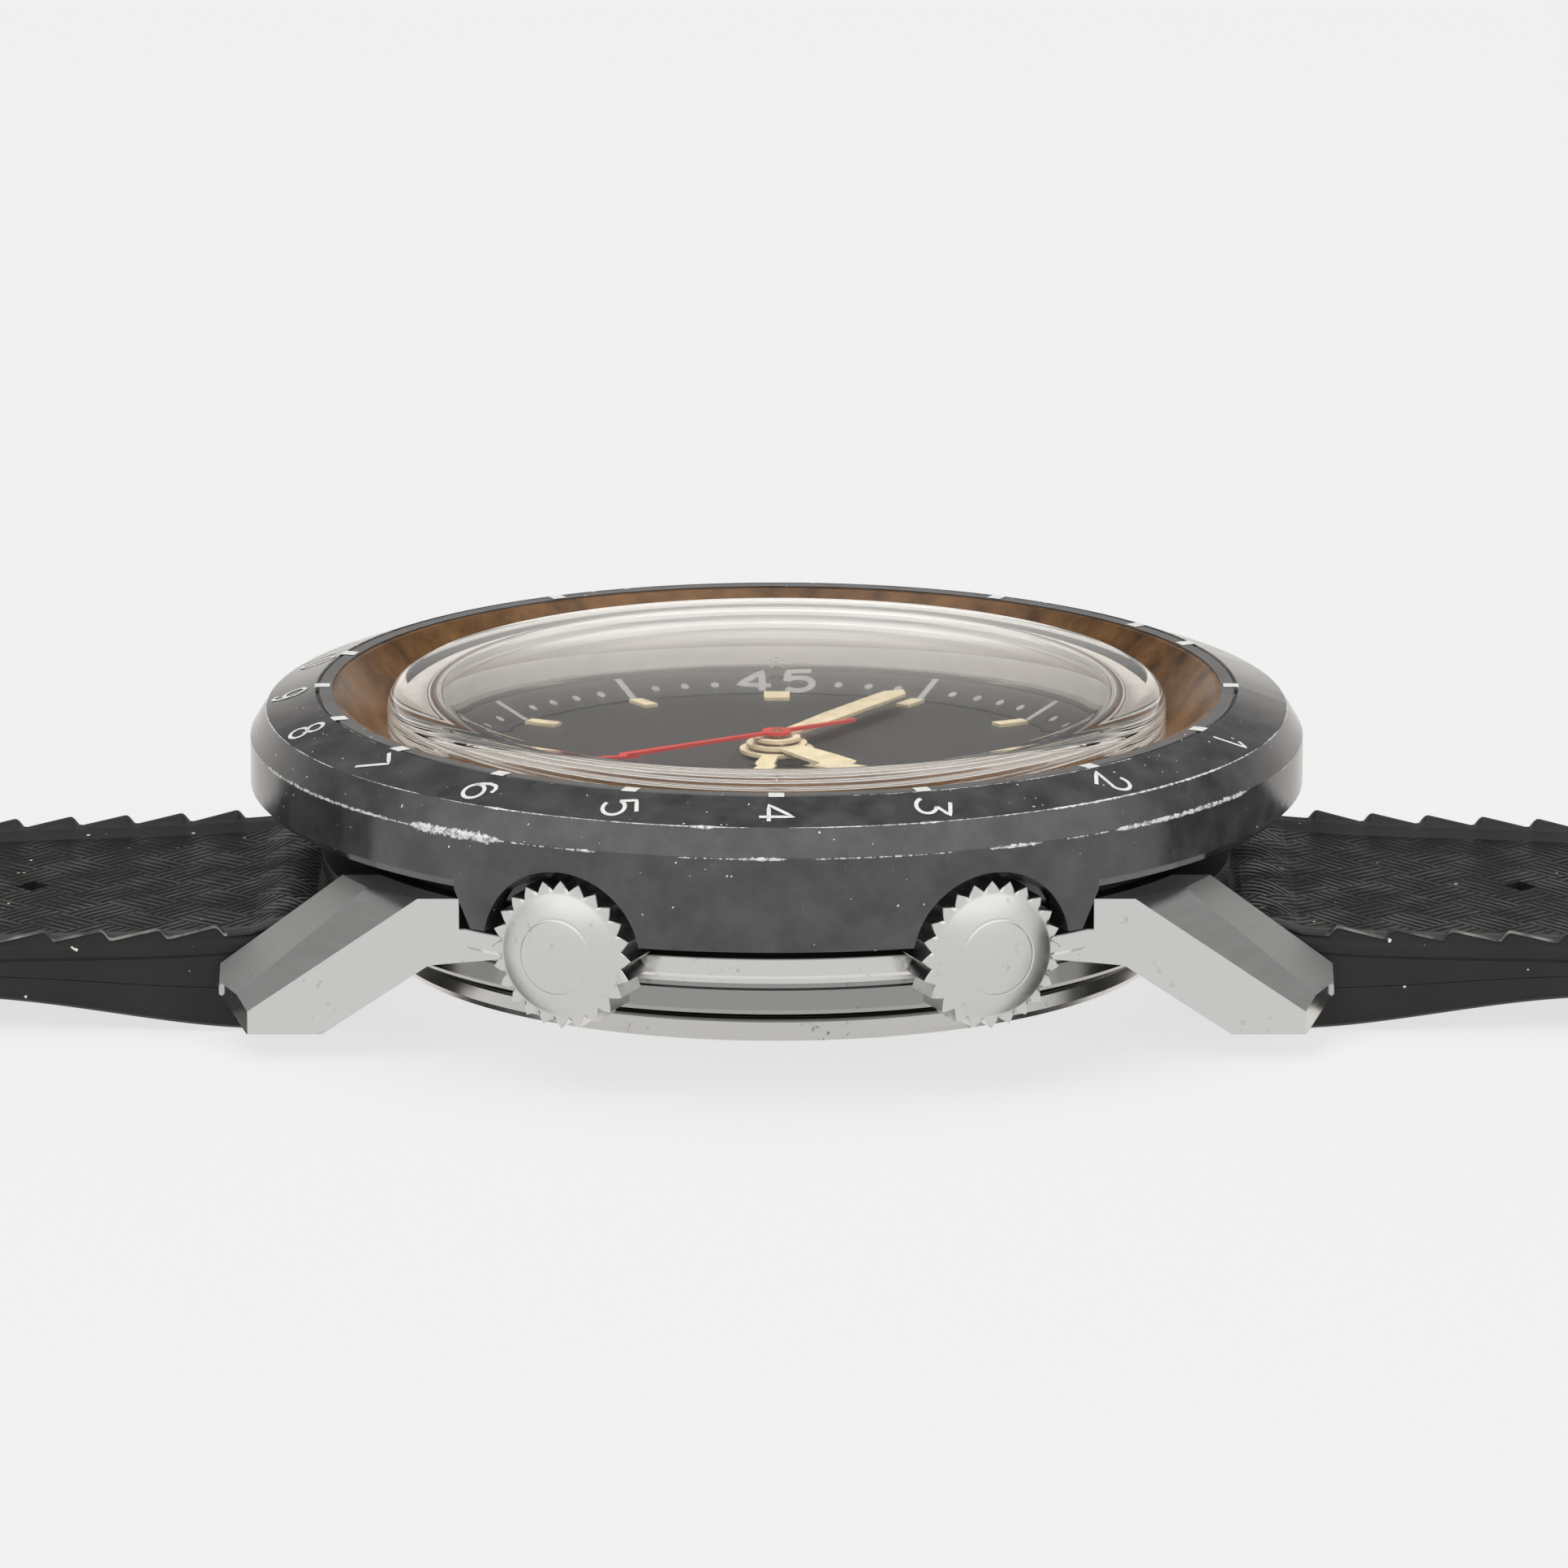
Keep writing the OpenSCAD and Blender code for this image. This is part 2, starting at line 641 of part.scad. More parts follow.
module mainplate() {
    color("tan") difference() {
        union() {
            translate([0, 0, plate_z]) cylinder(h = plate_top_z - plate_z, r = movement_r);
            hole_at(minute_wheel_at, plate_top_z - eps, plate_top_z + 0.5, 0.25);
        }
        hole_at(time_barrel_at, plate_z - eps, barrel_z + barrel_h + 0.08, barrel_r + 0.25);
        hole_at(alarm_barrel_at, plate_z - eps, barrel_z + barrel_h + 0.08, alarm_barrel_r + 0.15);
        hole_at([0, 0], plate_z - eps, ceiling_z, centre_r + 0.15);
        hole_at(third_at, plate_z - eps, ceiling_z, third_r + 0.15);
        hole_at(escape_at, plate_z - eps, pocket_z, escape_r + 0.15);
        hole_at(balance_at, plate_z - eps, pocket_z - 0.2, balance_r + 0.15);
        at(pallet_at) rotate([0, 0, balance_line - 90]) translate([-3.75 * ms, -0.55, plate_z - eps])
            cube([7.5 * ms, 1.1, 0.2 + eps]);
        hole_at(hammer_at, plate_z - eps, pocket_z, 1.6);
        hole_at(post_at, plate_z - eps, pocket_z, 2.6 * ms);
        at(hammer_at) rotate([0, 0, hammer_angle]) translate([0, -1, plate_z - eps])
            cube([hammer_reach, 2.4, pocket_z - plate_z]);
        hole_at([0, 0], plate_z, deep, centre_arbor_r + run);
        for (a = [time_angle, alarm_angle]) {
            hole_at(polar(crown_wheel_dist, a), plate_z - eps, 3.3, crown_wheel_r + 0.3);
            rotate([0, 0, a]) translate([pinion_in - 0.25, -1.55, plate_z - eps])
                cube([pinion_len + 0.45, 3.1, deep]);
            along_stem(a, stem_in - 0.2) cylinder(h = deep, d = stem_d + 2 * run);
        }
        for (p = [third_at, escape_at, pallet_at, balance_at])
            hole_at(p, plate_z, plate_top_z - 0.2, pivot_r + run);
        for (p = screw_at) hole_at(p, plate_z - eps, plate_z + 0.8, screw_r);
        hole_at(hammer_at, plate_z, plate_top_z - 0.4, 0.2 + run);
        for (p = [time_barrel_at, alarm_barrel_at])
            hole_at(p, plate_z, plate_top_z - 0.3, 0.5 + run);
    }
}

module barrel_bridge() {
    color("khaki") difference() {
        bridge([[-13, -7.5], [-13, 4.5], [-6.2, 4.2], [-1.3, 1.2], [-1.3, -5], [-5.5, -12]]);
        hole_at(polar(crown_wheel_dist, time_angle), 0, deep, crown_wheel_r + 0.3);
        hole_at(balance_at, 0, deep, balance_r + 0.3);
        hole_at(time_barrel_at, 0, deep, 0.5 + run);
        for (p = screw_at) hole_at(p, 0, deep, screw_r);
    }
}

module alarm_bridge() {
    color("khaki") difference() {
        bridge([[1.5, -5], [1.5, -0.8], [13, 0.6], [13, -9], [5.5, -12]]);
        hole_at(polar(crown_wheel_dist, alarm_angle), 0, deep, crown_wheel_r + 0.3);
        hole_at(alarm_barrel_at, 0, deep, 0.5 + run);
        for (p = screw_at) hole_at(p, 0, deep, screw_r);
    }
}

module train_bridge() {
    color("khaki") difference() {
        bridge([
            [-1.15, -0.6], [1.5, -0.6], [13, 0.8], [13, 8.8], [4, 8.0], [0.6, 5.3], [-1.15, 4.6]]);
        hole_at(balance_at, 0, deep, balance_r + 0.3);
        for (p = [[0, 0], third_at, escape_at]) hole_at(p, 0, deep, jewel_r);
        hole_at(hammer_at, 0, deep, 0.2 + run);
        for (p = screw_at) hole_at(p, 0, deep, screw_r);
    }
}

// Slim bridge over the pallet fork, between the balance and the plate
module pallet_bridge() {
    side = balance_line - 90;
    color("khaki") difference() {
        at(pallet_at) rotate([0, 0, side]) translate([-3.7 * ms, -0.5, plate_z])
            cube([7.4 * ms, 1, 0.18]);
        hole_at(pallet_at, 0, deep, pivot_r + run);
    }
}

module balance_cock() {
    line = balance_at - cock_foot_at;
    color("khaki") difference() {
        union() {
            at(cock_foot_at) rotate([0, 0, atan2(line[1], line[0])])
                translate([-0.6, -1, cock_z]) cube([norm(line) + 0.6, 2, 0.3]);
            hole_at(balance_at, cock_z, cock_z + 0.3, 1.3);
            hole_at(cock_foot_at, cock_z, plate_z, 1.5);
        }
        hole_at(balance_at, 0, deep, jewel_r);
        hole_at(cock_foot_at, 0, deep, screw_r);
        hole_at(cock_foot_at, 0, cock_z + screw_head_h, screw_head_r + run);
    }
}

module jewels() {
    color("crimson") {
        for (p = [[0, 0], third_at, escape_at])
            at(p) ring(pivot_r + run, jewel_r, bridge_z, plate_z);
        at(balance_at) ring(pivot_r + run, jewel_r, cock_z, cock_z + 0.3);
    }
}

module bridge_screws() {
    color("steelblue") for (p = screw_at) {
        low = p == cock_foot_at ? cock_z + screw_head_h : bridge_z;
        at(p) difference() {
            union() {
                translate([0, 0, low]) cylinder(h = plate_z + 0.7 - low, r = screw_r, $fn = 24);
                translate([0, 0, low - screw_head_h])
                    cylinder(h = screw_head_h, r = screw_head_r, $fn = 24);
            }
            translate([-1, -0.07, low - screw_head_h - eps]) cube([2, 0.14, 0.1]);
        }
    }
}

// Drum with a toothed rim, a lid and a wound spring inside
module barrel(p, r, teeth, phase) {
    color("goldenrod") at(p) difference() {
        union() {
            ring(0.5 + run, r - 0.25, barrel_z, barrel_z + barrel_h);
            gear(teeth, r, barrel_z + 0.6, barrel_z + 0.85, phase);
        }
        ring(1.2, r - 0.5, barrel_z + 0.2, barrel_z + barrel_h - 0.2);
        translate([0, 0, barrel_z - eps]) cylinder(h = deep, r = 0.5 + run);
    }
}

// Ratchet wheel with its barrel arbor
module ratchet(p, teeth, angle) {
    wheel_at = polar(crown_wheel_dist, angle);
    back = atan2(wheel_at[1] - p[1], wheel_at[0] - p[0]);
    color("silver") at(p) {
        gear(teeth, wind_module * teeth / 2, ratchet_z, ratchet_z + ratchet_t,
            back + 180 / teeth);
        translate([0, 0, ratchet_z]) cylinder(h = plate_top_z - 0.35 - ratchet_z, r = 0.5, $fn = 48);
    }
}

// Arm with a heavy head that rests just beside the post on the sounding back
module alarm_hammer() {
    color("gray") at(hammer_at) {
        arbor(0.35, plate_z + 0.1, pocket_z - 0.1, 0.2, 0.5, 0.8);
        rotate([0, 0, hammer_angle]) {
            translate([0, -0.35, pocket_z - 0.6]) cube([hammer_reach, 0.7, 0.35]);
            translate([hammer_reach - 1.0, -0.6, pocket_z - 0.7]) cube([1.3, 1.2, 0.55]);
        }
    }
}

module center_wheel() {
    to_barrel = atan2(time_barrel_at[1], time_barrel_at[0]);
    color("gold") difference() {
        union() {
            gear(centre_teeth, centre_r, centre_z, centre_z + wheel_t, 30);
            gear(centre_leaves, centre_leaf_r, centre_z - 0.65, centre_z + eps, to_barrel);
            translate([0, 0, centre_z - 0.7])
                cylinder(h = minute_hand_z - centre_z + 0.7, r = centre_arbor_r, $fn = 48);
        }
        translate([0, 0, centre_z - 1]) cylinder(h = deep, r = fourth_arbor_r + run, $fn = 32);
        for (i = [0 : 3])
            hole_at(polar(centre_r * 0.6, 45 + i * 90), centre_z - 0.1, centre_z + 0.2, 0.8 * ms);
    }
}

module third_wheel() {
    color("gold") at(third_at) difference() {
        union() {
            gear(third_teeth, third_r, third_z, third_z + wheel_t, 210);
            gear(third_leaves, third_leaf_r, centre_z - 0.15, ceiling_z - 0.05,
                210 + 180 / third_leaves);
            arbor(0.18, plate_z + 0.1, ceiling_z - 0.05, pivot_r, 0.55, 0.5);
        }
        for (i = [0 : 4])
            hole_at(polar(third_r * 0.6, 30 + i * 72), third_z - 0.05, third_z + 0.2, 0.75 * ms);
    }
}

module fourth_wheel() {
    color("gold") difference() {
        union() {
            gear(fourth_teeth, fourth_r, fourth_z, fourth_z + wheel_t, escape_line);
            gear(fourth_leaves, fourth_leaf_r, fourth_z + 0.2, third_z + 0.2,
                30 + 180 / fourth_leaves);
            arbor(fourth_arbor_r, fourth_z - 0.05, seconds_hand_z, pivot_r, 0.55, 0.1);
        }
        for (i = [0 : 3])
            hole_at(polar(fourth_r * 0.6, 52 + i * 90), fourth_z - 0.05, fourth_z + 0.17, 0.75 * ms);
    }
}

// Escape wheel with raked teeth
module escape_wheel() {
    step = 360 / escape_teeth;
    color("silver") at(escape_at) difference() {
        union() {
            translate([0, 0, escape_z]) linear_extrude(wheel_t) polygon([
                for (i = [0 : escape_teeth - 1], k = [0 : 2])
                    polar([escape_r, escape_r - 0.05, escape_r - 0.45][k],
                        (i + [0, 0.16, 0.3][k]) * step)]);
            gear(escape_leaves, escape_leaf_r, fourth_z - 0.05, escape_z - 0.05,
                escape_line + 180 + 180 / escape_leaves);
            arbor(0.14, plate_z + 0.08, escape_z + 0.35, pivot_r, 0.5, 0.75);
        }
        for (i = [0 : 4])
            hole_at(polar(escape_r * 0.45, i * 72), escape_z - 0.04, escape_z + 0.2, 0.3 * ms);
    }
}

// Lever with two pallets that face the escape wheel and a fork that faces the balance
module pallet_fork() {
    color("silver") at(pallet_at) rotate([0, 0, balance_line]) union() {
        translate([0, 0, plate_z + 0.35]) linear_extrude(0.18) polygon(ms * [
            [-1.2, -1.3], [-0.95, -1.45], [0.2, -0.35], [1.3, -0.16], [1.75, -0.3],
            [1.75, -0.12], [1.5, -0.06], [1.5, 0.06], [1.75, 0.12], [1.75, 0.3],
            [1.3, 0.16], [0.2, 0.35], [-0.95, 1.45], [-1.2, 1.3], [-0.35, 0.2], [-0.35, -0.2]]);
        arbor(0.16, plate_z + 0.22, plate_z + 0.56, pivot_r, 0.2, 0.6);
    }
}

module balance_wheel() {
    r = balance_r;
    rim_z = plate_z - 0.44;
    pin_at = pallet_dist - 1.83 * ms;
    color("gold") at(balance_at) {
        ring(r - 0.4, r, rim_z, rim_z + 0.34);
        for (a = [0, 90])
            rotate([0, 0, a]) translate([-r + 0.3, -0.2, rim_z + 0.06]) cube([2 * r - 0.6, 0.4, 0.2]);
        arbor(0.2, cock_z + 0.35, plate_z + 0.56, pivot_r, 0.3, 0.6);
        // Roller with the pin that the fork carries
        translate([0, 0, rim_z + 0.26]) cylinder(h = 0.3, r = pin_at + 0.1, $fn = 32);
        rotate([0, 0, balance_line + 180]) translate([pin_at, 0, rim_z + 0.5])
            cylinder(h = 0.44, r = 0.05, $fn = 16);
    }
}

// Spiral of half-turn arcs whose centres alternate about the staff
module hairspring() {
    turns = 5;
    step = 0.28;
    w = 0.09;
    color("slategray") at(balance_at) {
        ring(0.2, 0.42, cock_z + 0.37, cock_z + 0.51);
        for (i = [0 : 2 * turns - 1]) {
            r = 0.42 - w / 2 + i * step / 2;
            rotate([0, 0, 180 * i]) translate([(i % 2 == 0 ? 0 : -step / 2), 0, 0])
                intersection() {
                    ring(r, r + w, cock_z + 0.39, cock_z + 0.49);
                    translate([-deep / 2, 0, 2]) cube([deep, deep, 1]);
                }
        }
    }
}

module cannon_pinion() {
    to_minute = atan2(minute_wheel_at[1], minute_wheel_at[0]);
    color("silver") difference() {
        union() {
            gear(cannon_teeth, cannon_r, plate_top_z + 0.04, plate_top_z + 0.3, to_minute);
            translate([0, 0, plate_top_z + 0.04])
                cylinder(h = minute_hand_z - plate_top_z - 0.04, r = cannon_out_r, $fn = 48);
        }
        translate([0, 0, plate_top_z]) cylinder(h = deep, r = centre_arbor_r, $fn = 48);
    }
}

module minute_wheel() {
    back = atan2(-minute_wheel_at[1], -minute_wheel_at[0]);
    color("gold") at(minute_wheel_at) difference() {
        union() {
            gear(minute_teeth, minute_r, plate_top_z + 0.06, plate_top_z + 0.26,
                back + 180 / minute_teeth);
            gear(minute_leaves, minute_leaf_r, plate_top_z + 0.2, plate_top_z + 0.48, back);
        }
        translate([0, 0, plate_top_z]) cylinder(h = 1, r = 0.25 + run, $fn = 32);
    }
}

// Wheel with a long pipe that carries a hand
module pipe_wheel(teeth, r, z, t, pipe_in, pipe_out, top, turn) {
    difference() {
        union() {
            gear(teeth, r, z, z + t, turn);
            translate([0, 0, z]) cylinder(h = top - z, r = pipe_out, $fn = 48);
        }
        translate([0, 0, z - eps]) cylinder(h = deep, r = pipe_in, $fn = 48);
    }
}

module hour_wheel() {
    to_minute = atan2(minute_wheel_at[1], minute_wheel_at[0]);
    color("gold") pipe_wheel(hour_teeth, hour_r, plate_top_z + 0.34, 0.12,
        cannon_out_r + run, hour_pipe_r, hour_hand_z, to_minute + 180 / hour_teeth);
}

module alarm_wheel() {
    color("silver") pipe_wheel(alarm_wheel_teeth, alarm_wheel_r, plate_top_z + 0.52, 0.12,
        hour_pipe_r + run, alarm_pipe_r, alarm_hand_z, 0);
}

// ---------------------------------------------------------------- dial and hands

module dial() {
    color("darkslategray") difference() {
        translate([0, 0, dial_z]) cylinder(h = dial_t, r = dial_r);
        translate([0, 0, dial_z - eps]) cylinder(h = 1, r = alarm_pipe_r + 0.12, $fn = 48);
    }
}

// Applied hour bars; the quarters are wider
module dial_markers() {
    from_r = dial_r - 4.2;
    to_r = dial_r - 2;
    color("beige") for (i = [0 : 11]) rotate([0, 0, i * 30])
        translate([from_r, i % 3 == 0 ? -0.5 : -0.28, dial_top_z])
            cube([to_r - from_r, i % 3 == 0 ? 1.0 : 0.56, 0.12]);
}

// Baton hand along +X with a hub and a short tail
module baton(len, tail, w, z, hub_r, bore_r) {
    difference() {
        union() {
            translate([0, 0, z]) linear_extrude(hand_t) polygon([
                [-tail, -w * 0.35], [0, -w * 0.35], [len * 0.45, -w / 2], [len * 0.93, -w / 2],
                [len, 0], [len * 0.93, w / 2], [len * 0.45, w / 2], [0, w * 0.35],
                [-tail, w * 0.35]]);
            translate([0, 0, z]) cylinder(h = hand_t, r = hub_r, $fn = 48);
        }
        translate([0, 0, z - eps]) cylinder(h = 1, r = bore_r, $fn = 48);
    }
}

module hour_hand() {
    color("ivory") rotate([0, 0, -55]) baton(hour_len, 0, 1.3, hour_hand_z - hand_t, 1.15, hour_pipe_r);
}

module minute_hand() {
    color("ivory") rotate([0, 0, 60]) baton(minute_len, 0, 1.0, minute_hand_z - hand_t, 0.9, cannon_out_r);
}

module seconds_hand() {
    color("red") rotate([0, 0, 214.5])
        baton(seconds_len, 3.6, 0.3, seconds_hand_z - hand_t, 0.55, 0.22);
}

module alarm_hand() {
    color("ivory") rotate([0, 0, -100])
        baton(5.2, 0, 0.7, alarm_hand_z - hand_t, 1.4, alarm_pipe_r);
}

// ---------------------------------------------------------------- strap

module spring_bars() {
    half = lug_in - 0.1;
    color("silver") for (s = [-1, 1]) translate([s * bar_x, 0, bar_z]) rotate([90, 0, 0]) {
        cylinder(h = 2 * half, d = bar_d, center = true, $fn = 48);
        cylinder(h = 2 * (lug_in + tip_depth), d = bar_tip_d, center = true, $fn = 32);
    }
}

// Smooth step from 0 to 1 between two distances
function ease(d, a, b) = d < a ? 0 : d > b ? 1 : (1 - cos(180 * (d - a) / (b - a))) / 2;

// Underside and top of a strap half, as height against distance from the bar: it thins away
// from the bar, rises by the lift, and comes down by the drop past the flat point
function strap_under(d, drop) = floor_z + lift * ease(d, 0, 13) - drop * ease(d, 13, flat_from);
function strap_top(d, drop) =
    strap_under(d, drop) + strap_t + (root_t - strap_t) * (1 - ease(d, -4, 15));

// Saw-tooth height at a distance: steep towards the case, sloping away
function saw(i) = [[i * edge_pitch, 0], [i * edge_pitch + 0.15, edge_rise]];

// Side outline of a strap half of a given length, drawn from the bar outwards
module strap_side(len, drop, sawn) {
    samples = 16;
    teeth = floor((len - 3) / edge_pitch);
    top_flat = [for (i = [samples : -1 : 0]) let (d = flat_from * i / samples)
        [d, strap_top(d, drop)]];
    top_saw = [for (i = [teeth : -1 : 1], k = [1, 0]) let (p = saw(i)[k])
        [p[0], strap_top(p[0], drop) + p[1] - 0.12]];
    under = [for (i = [0 : samples]) let (d = flat_from * i / samples)
        [d, strap_under(d, drop)]];
    polygon(concat(under, [[len, strap_under(len, drop)], [len, strap_top(len, drop) - 0.1]],
        sawn ? top_saw : top_flat, [[0, strap_top(0, drop) - 0.1]]));
}

// Plan outline: tapering from the lugs, then straight
module strap_plan(len) {
    taper_to = 45;
    w0 = strap_w / 2;
    w1 = strap_end_w / 2;
    polygon([[-hub_r - 1, -w0], [3, -w0], [taper_to, -w1], [len + 5, -w1],
        [len + 5, w1], [taper_to, w1], [3, w0], [-hub_r - 1, w0]]);
}

// A strap half along +X from the bar, without its holes
module strap_half(len, drop) {
    half = strap_w / 2;
    intersection() {
        union() {
            rotate([90, 0, 0]) linear_extrude(2 * half, center = true)
                strap_side(len, drop, false);
            for (s = [-1, 1]) translate([0, s * (half - edge_w / 2 - 0.25), 0])
                rotate([90, 0, 0]) linear_extrude(edge_w + 0.5, center = true)
                    strap_side(len, drop, true);
            translate([0, 0, bar_z]) rotate([90, 0, 0])
                cylinder(h = 2 * half, r = hub_r, center = true);
        }
        translate([0, 0, -deep / 2]) linear_extrude(deep) strap_plan(len);
    }
}

// Lozenge perforation through the strap
module lozenge(d) {
    translate([d, 0, -deep / 2]) linear_extrude(deep)
        polygon([[-0.65, 0], [0, -0.75], [0.65, 0], [0, 0.75]]);
}

module bar_hole(r) {
    translate([0, 0, bar_z]) rotate([90, 0, 0]) cylinder(h = deep, r = r, center = true, $fn = 48);
}

module strap_long() {
    first_hole = long_len - 14 - hole_pitch * (hole_count - 1);
    color("#222222") mirror([1, 0, 0]) translate([bar_x, 0, 0]) difference() {
        intersection() {
            strap_half(long_len, lift);
            union() {
                translate([-5, -deep / 2, -deep / 2]) cube([long_len - 3, deep, deep]);
                translate([long_len - 8.5, 0, -deep / 2]) cylinder(h = deep, r = 8.5);
            }
        }
        bar_hole(strap_hole_r);
        for (d = [10 : 8 : first_hole - 5]) lozenge(d);
        for (i = [0 : hole_count - 1]) translate([first_hole + i * hole_pitch, 0, -deep / 2])
            cylinder(h = deep, r = 1.2, $fn = 32);
    }
}

module strap_short() {
    slot = tongue_w + 2 * end_gap;
    color("#222222") translate([bar_x, 0, 0]) difference() {
        union() {
            difference() {
                strap_half(short_len, 0);
                // Smooth band that the keepers ride on
                translate([free_keeper_x - bar_x - 11, -deep / 2, short_top - 0.1])
                    cube([deep, deep, deep]);
            }
            translate([short_len, 0, buckle_z]) rotate([90, 0, 0])
                cylinder(h = strap_end_w - 2 * end_gap, r = end_hub_r, center = true);
        }
        bar_hole(strap_hole_r);
        translate([short_len, 0, buckle_z]) rotate([90, 0, 0])
            cylinder(h = deep, d = buckle_bar_d + 2 * run, center = true, $fn = 48);
        for (d = [10 : 8 : free_keeper_x - bar_x - 16]) lozenge(d);
        // Slot for the tongue, and relief for the buckle's ears
        translate([short_len - end_hub_r - 1.2, -slot / 2, -deep / 2]) cube([deep, slot, deep]);
        for (s = [-1, 1]) translate([short_len - end_hub_r - 1.6, s * strap_end_w / 2, 0])
            translate([0, s > 0 ? -end_gap : -deep + end_gap, -deep / 2]) cube([deep, deep, deep]);
    }
}

// Closed rubber loop round the strap, with room for the second layer
module keeper(x) {
    in_w = strap_end_w + 2 * keeper_gap;
    in_h = strap_t + 2 * keeper_gap + keeper_room;
    corner = 0.8;
    translate([x - keeper_len / 2, 0, floor_z]) difference() {
        union() {
            translate([0, -in_w / 2 - keeper_wall + corner, 0])
                cube([keeper_len, in_w + 2 * (keeper_wall - corner), in_h + 2 * keeper_wall]);
            translate([0, -in_w / 2 - keeper_wall, corner])
                cube([keeper_len, in_w + 2 * keeper_wall, in_h + 2 * (keeper_wall - corner)]);
            for (y = [-1, 1], z = [corner, in_h + 2 * keeper_wall - corner])
                translate([0, y * (in_w / 2 + keeper_wall - corner), z]) rotate([0, 90, 0])
                    cylinder(h = keeper_len, r = corner, $fn = 32);
        }
        translate([-eps, -in_w / 2, keeper_wall]) cube([keeper_len + 2 * eps, in_w, in_h]);
    }
}

// Spring-bar buckle: a rounded frame whose ears carry the bar
module buckle_frame() {
    in_w = buckle_in_w;
    out_w = in_w + 2 * buckle_t;
    len = end_hub_r + window_len + buckle_t;
    z0 = buckle_z - buckle_t / 2;
    color("silver") translate([buckle_x, 0, 0]) difference() {
        union() {
            translate([0, -out_w / 2, z0]) cube([len - 2.5, out_w, buckle_t]);
            for (s = [-1, 1]) translate([len - 2.5, s * (out_w / 2 - 2.5), z0])
                cylinder(h = buckle_t, r = 2.5);
            translate([0, -out_w / 2 + 2.5, z0]) cube([len, out_w - 5, buckle_t]);
            rotate([90, 0, 0]) translate([0, buckle_z, 0])
                cylinder(h = out_w, d = buckle_t, center = true);
        }
        translate([-3, -in_w / 2, z0 - 1])
            cube([3 + end_hub_r + window_len, in_w, buckle_t + 2]);
        translate([0, 0, buckle_z]) rotate([90, 0, 0])
            cylinder(h = in_w + 1.2, d = 0.8, center = true, $fn = 32);
    }
}

module buckle_tongue() {
    reach = end_hub_r + window_len + buckle_t - 0.3;
    ring_r = buckle_bar_d / 2 + 0.55;
    top = buckle_z + buckle_t / 2 + 0.05;
    color("silver") translate([buckle_x, 0, 0]) difference() {
        union() {
            translate([0, 0, buckle_z]) rotate([90, 0, 0])
                cylinder(h = tongue_w, r = ring_r, center = true, $fn = 48);
            rotate([90, 0, 0]) linear_extrude(tongue_w, center = true) polygon([
                [0, buckle_z], [ring_r, buckle_z], [reach - buckle_t - 1, top - 0.1],
                [reach - buckle_t - 0.2, top], [reach, top], [reach, top + 0.5],
                [reach - buckle_t - 1, top + 0.8], [0, buckle_z + ring_r]]);
        }
        translate([0, 0, buckle_z]) rotate([90, 0, 0])
            cylinder(h = deep, d = buckle_bar_d + 2 * run, center = true, $fn = 48);
    }
}

module buckle_bar() {
    color("silver") translate([buckle_x, 0, buckle_z]) rotate([90, 0, 0]) {
        cylinder(h = buckle_in_w - 0.1, d = buckle_bar_d, center = true, $fn = 48);
        cylinder(h = buckle_in_w + 1, d = 0.7, center = true, $fn = 32);
    }
}

case_middle();
bezel();
flange_ring();
crystal();
tension_ring();
dial();
dial_markers();
sound_back();
outer_back();
back_gasket();
movement_ring();
crown_tube(time_angle);  // time_tube
crown(time_angle);  // time_crown
stem(time_angle);  // time_stem
crown_gasket(time_angle);  // time_crown_gasket
winding_pinion(time_angle);  // time_winding_pinion
crown_tube(alarm_angle);  // alarm_tube
crown(alarm_angle);  // alarm_crown
stem(alarm_angle);  // alarm_stem
crown_gasket(alarm_angle);  // alarm_crown_gasket
winding_pinion(alarm_angle);  // alarm_winding_pinion
mainplate();
barrel_bridge();
alarm_bridge();
train_bridge();
pallet_bridge();
balance_cock();
jewels();
bridge_screws();
barrel(time_barrel_at, barrel_r, barrel_teeth,  // time_barrel
        atan2(-time_barrel_at[1], -time_barrel_at[0]) + 180 / barrel_teeth);
ratchet(time_barrel_at, time_ratchet_teeth, time_angle);  // time_ratchet
crown_wheel(time_angle, time_barrel_at);  // time_crown_wheel
barrel(alarm_barrel_at, alarm_barrel_r, alarm_barrel_teeth, 0);  // alarm_barrel
ratchet(alarm_barrel_at, alarm_ratchet_teeth, alarm_angle);  // alarm_ratchet
crown_wheel(alarm_angle, alarm_barrel_at);  // alarm_crown_wheel
alarm_hammer();
center_wheel();
third_wheel();
fourth_wheel();
escape_wheel();
pallet_fork();
balance_wheel();
hairspring();
cannon_pinion();
minute_wheel();
hour_wheel();
alarm_wheel();
hour_hand();
minute_hand();
seconds_hand();
alarm_hand();
spring_bars();
strap_long();
strap_short();
color("#222222") keeper(fixed_keeper_x);  // fixed_keeper
color("#222222") keeper(free_keeper_x);  // free_keeper
buckle_frame();
buckle_tongue();
buckle_bar();
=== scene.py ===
import math

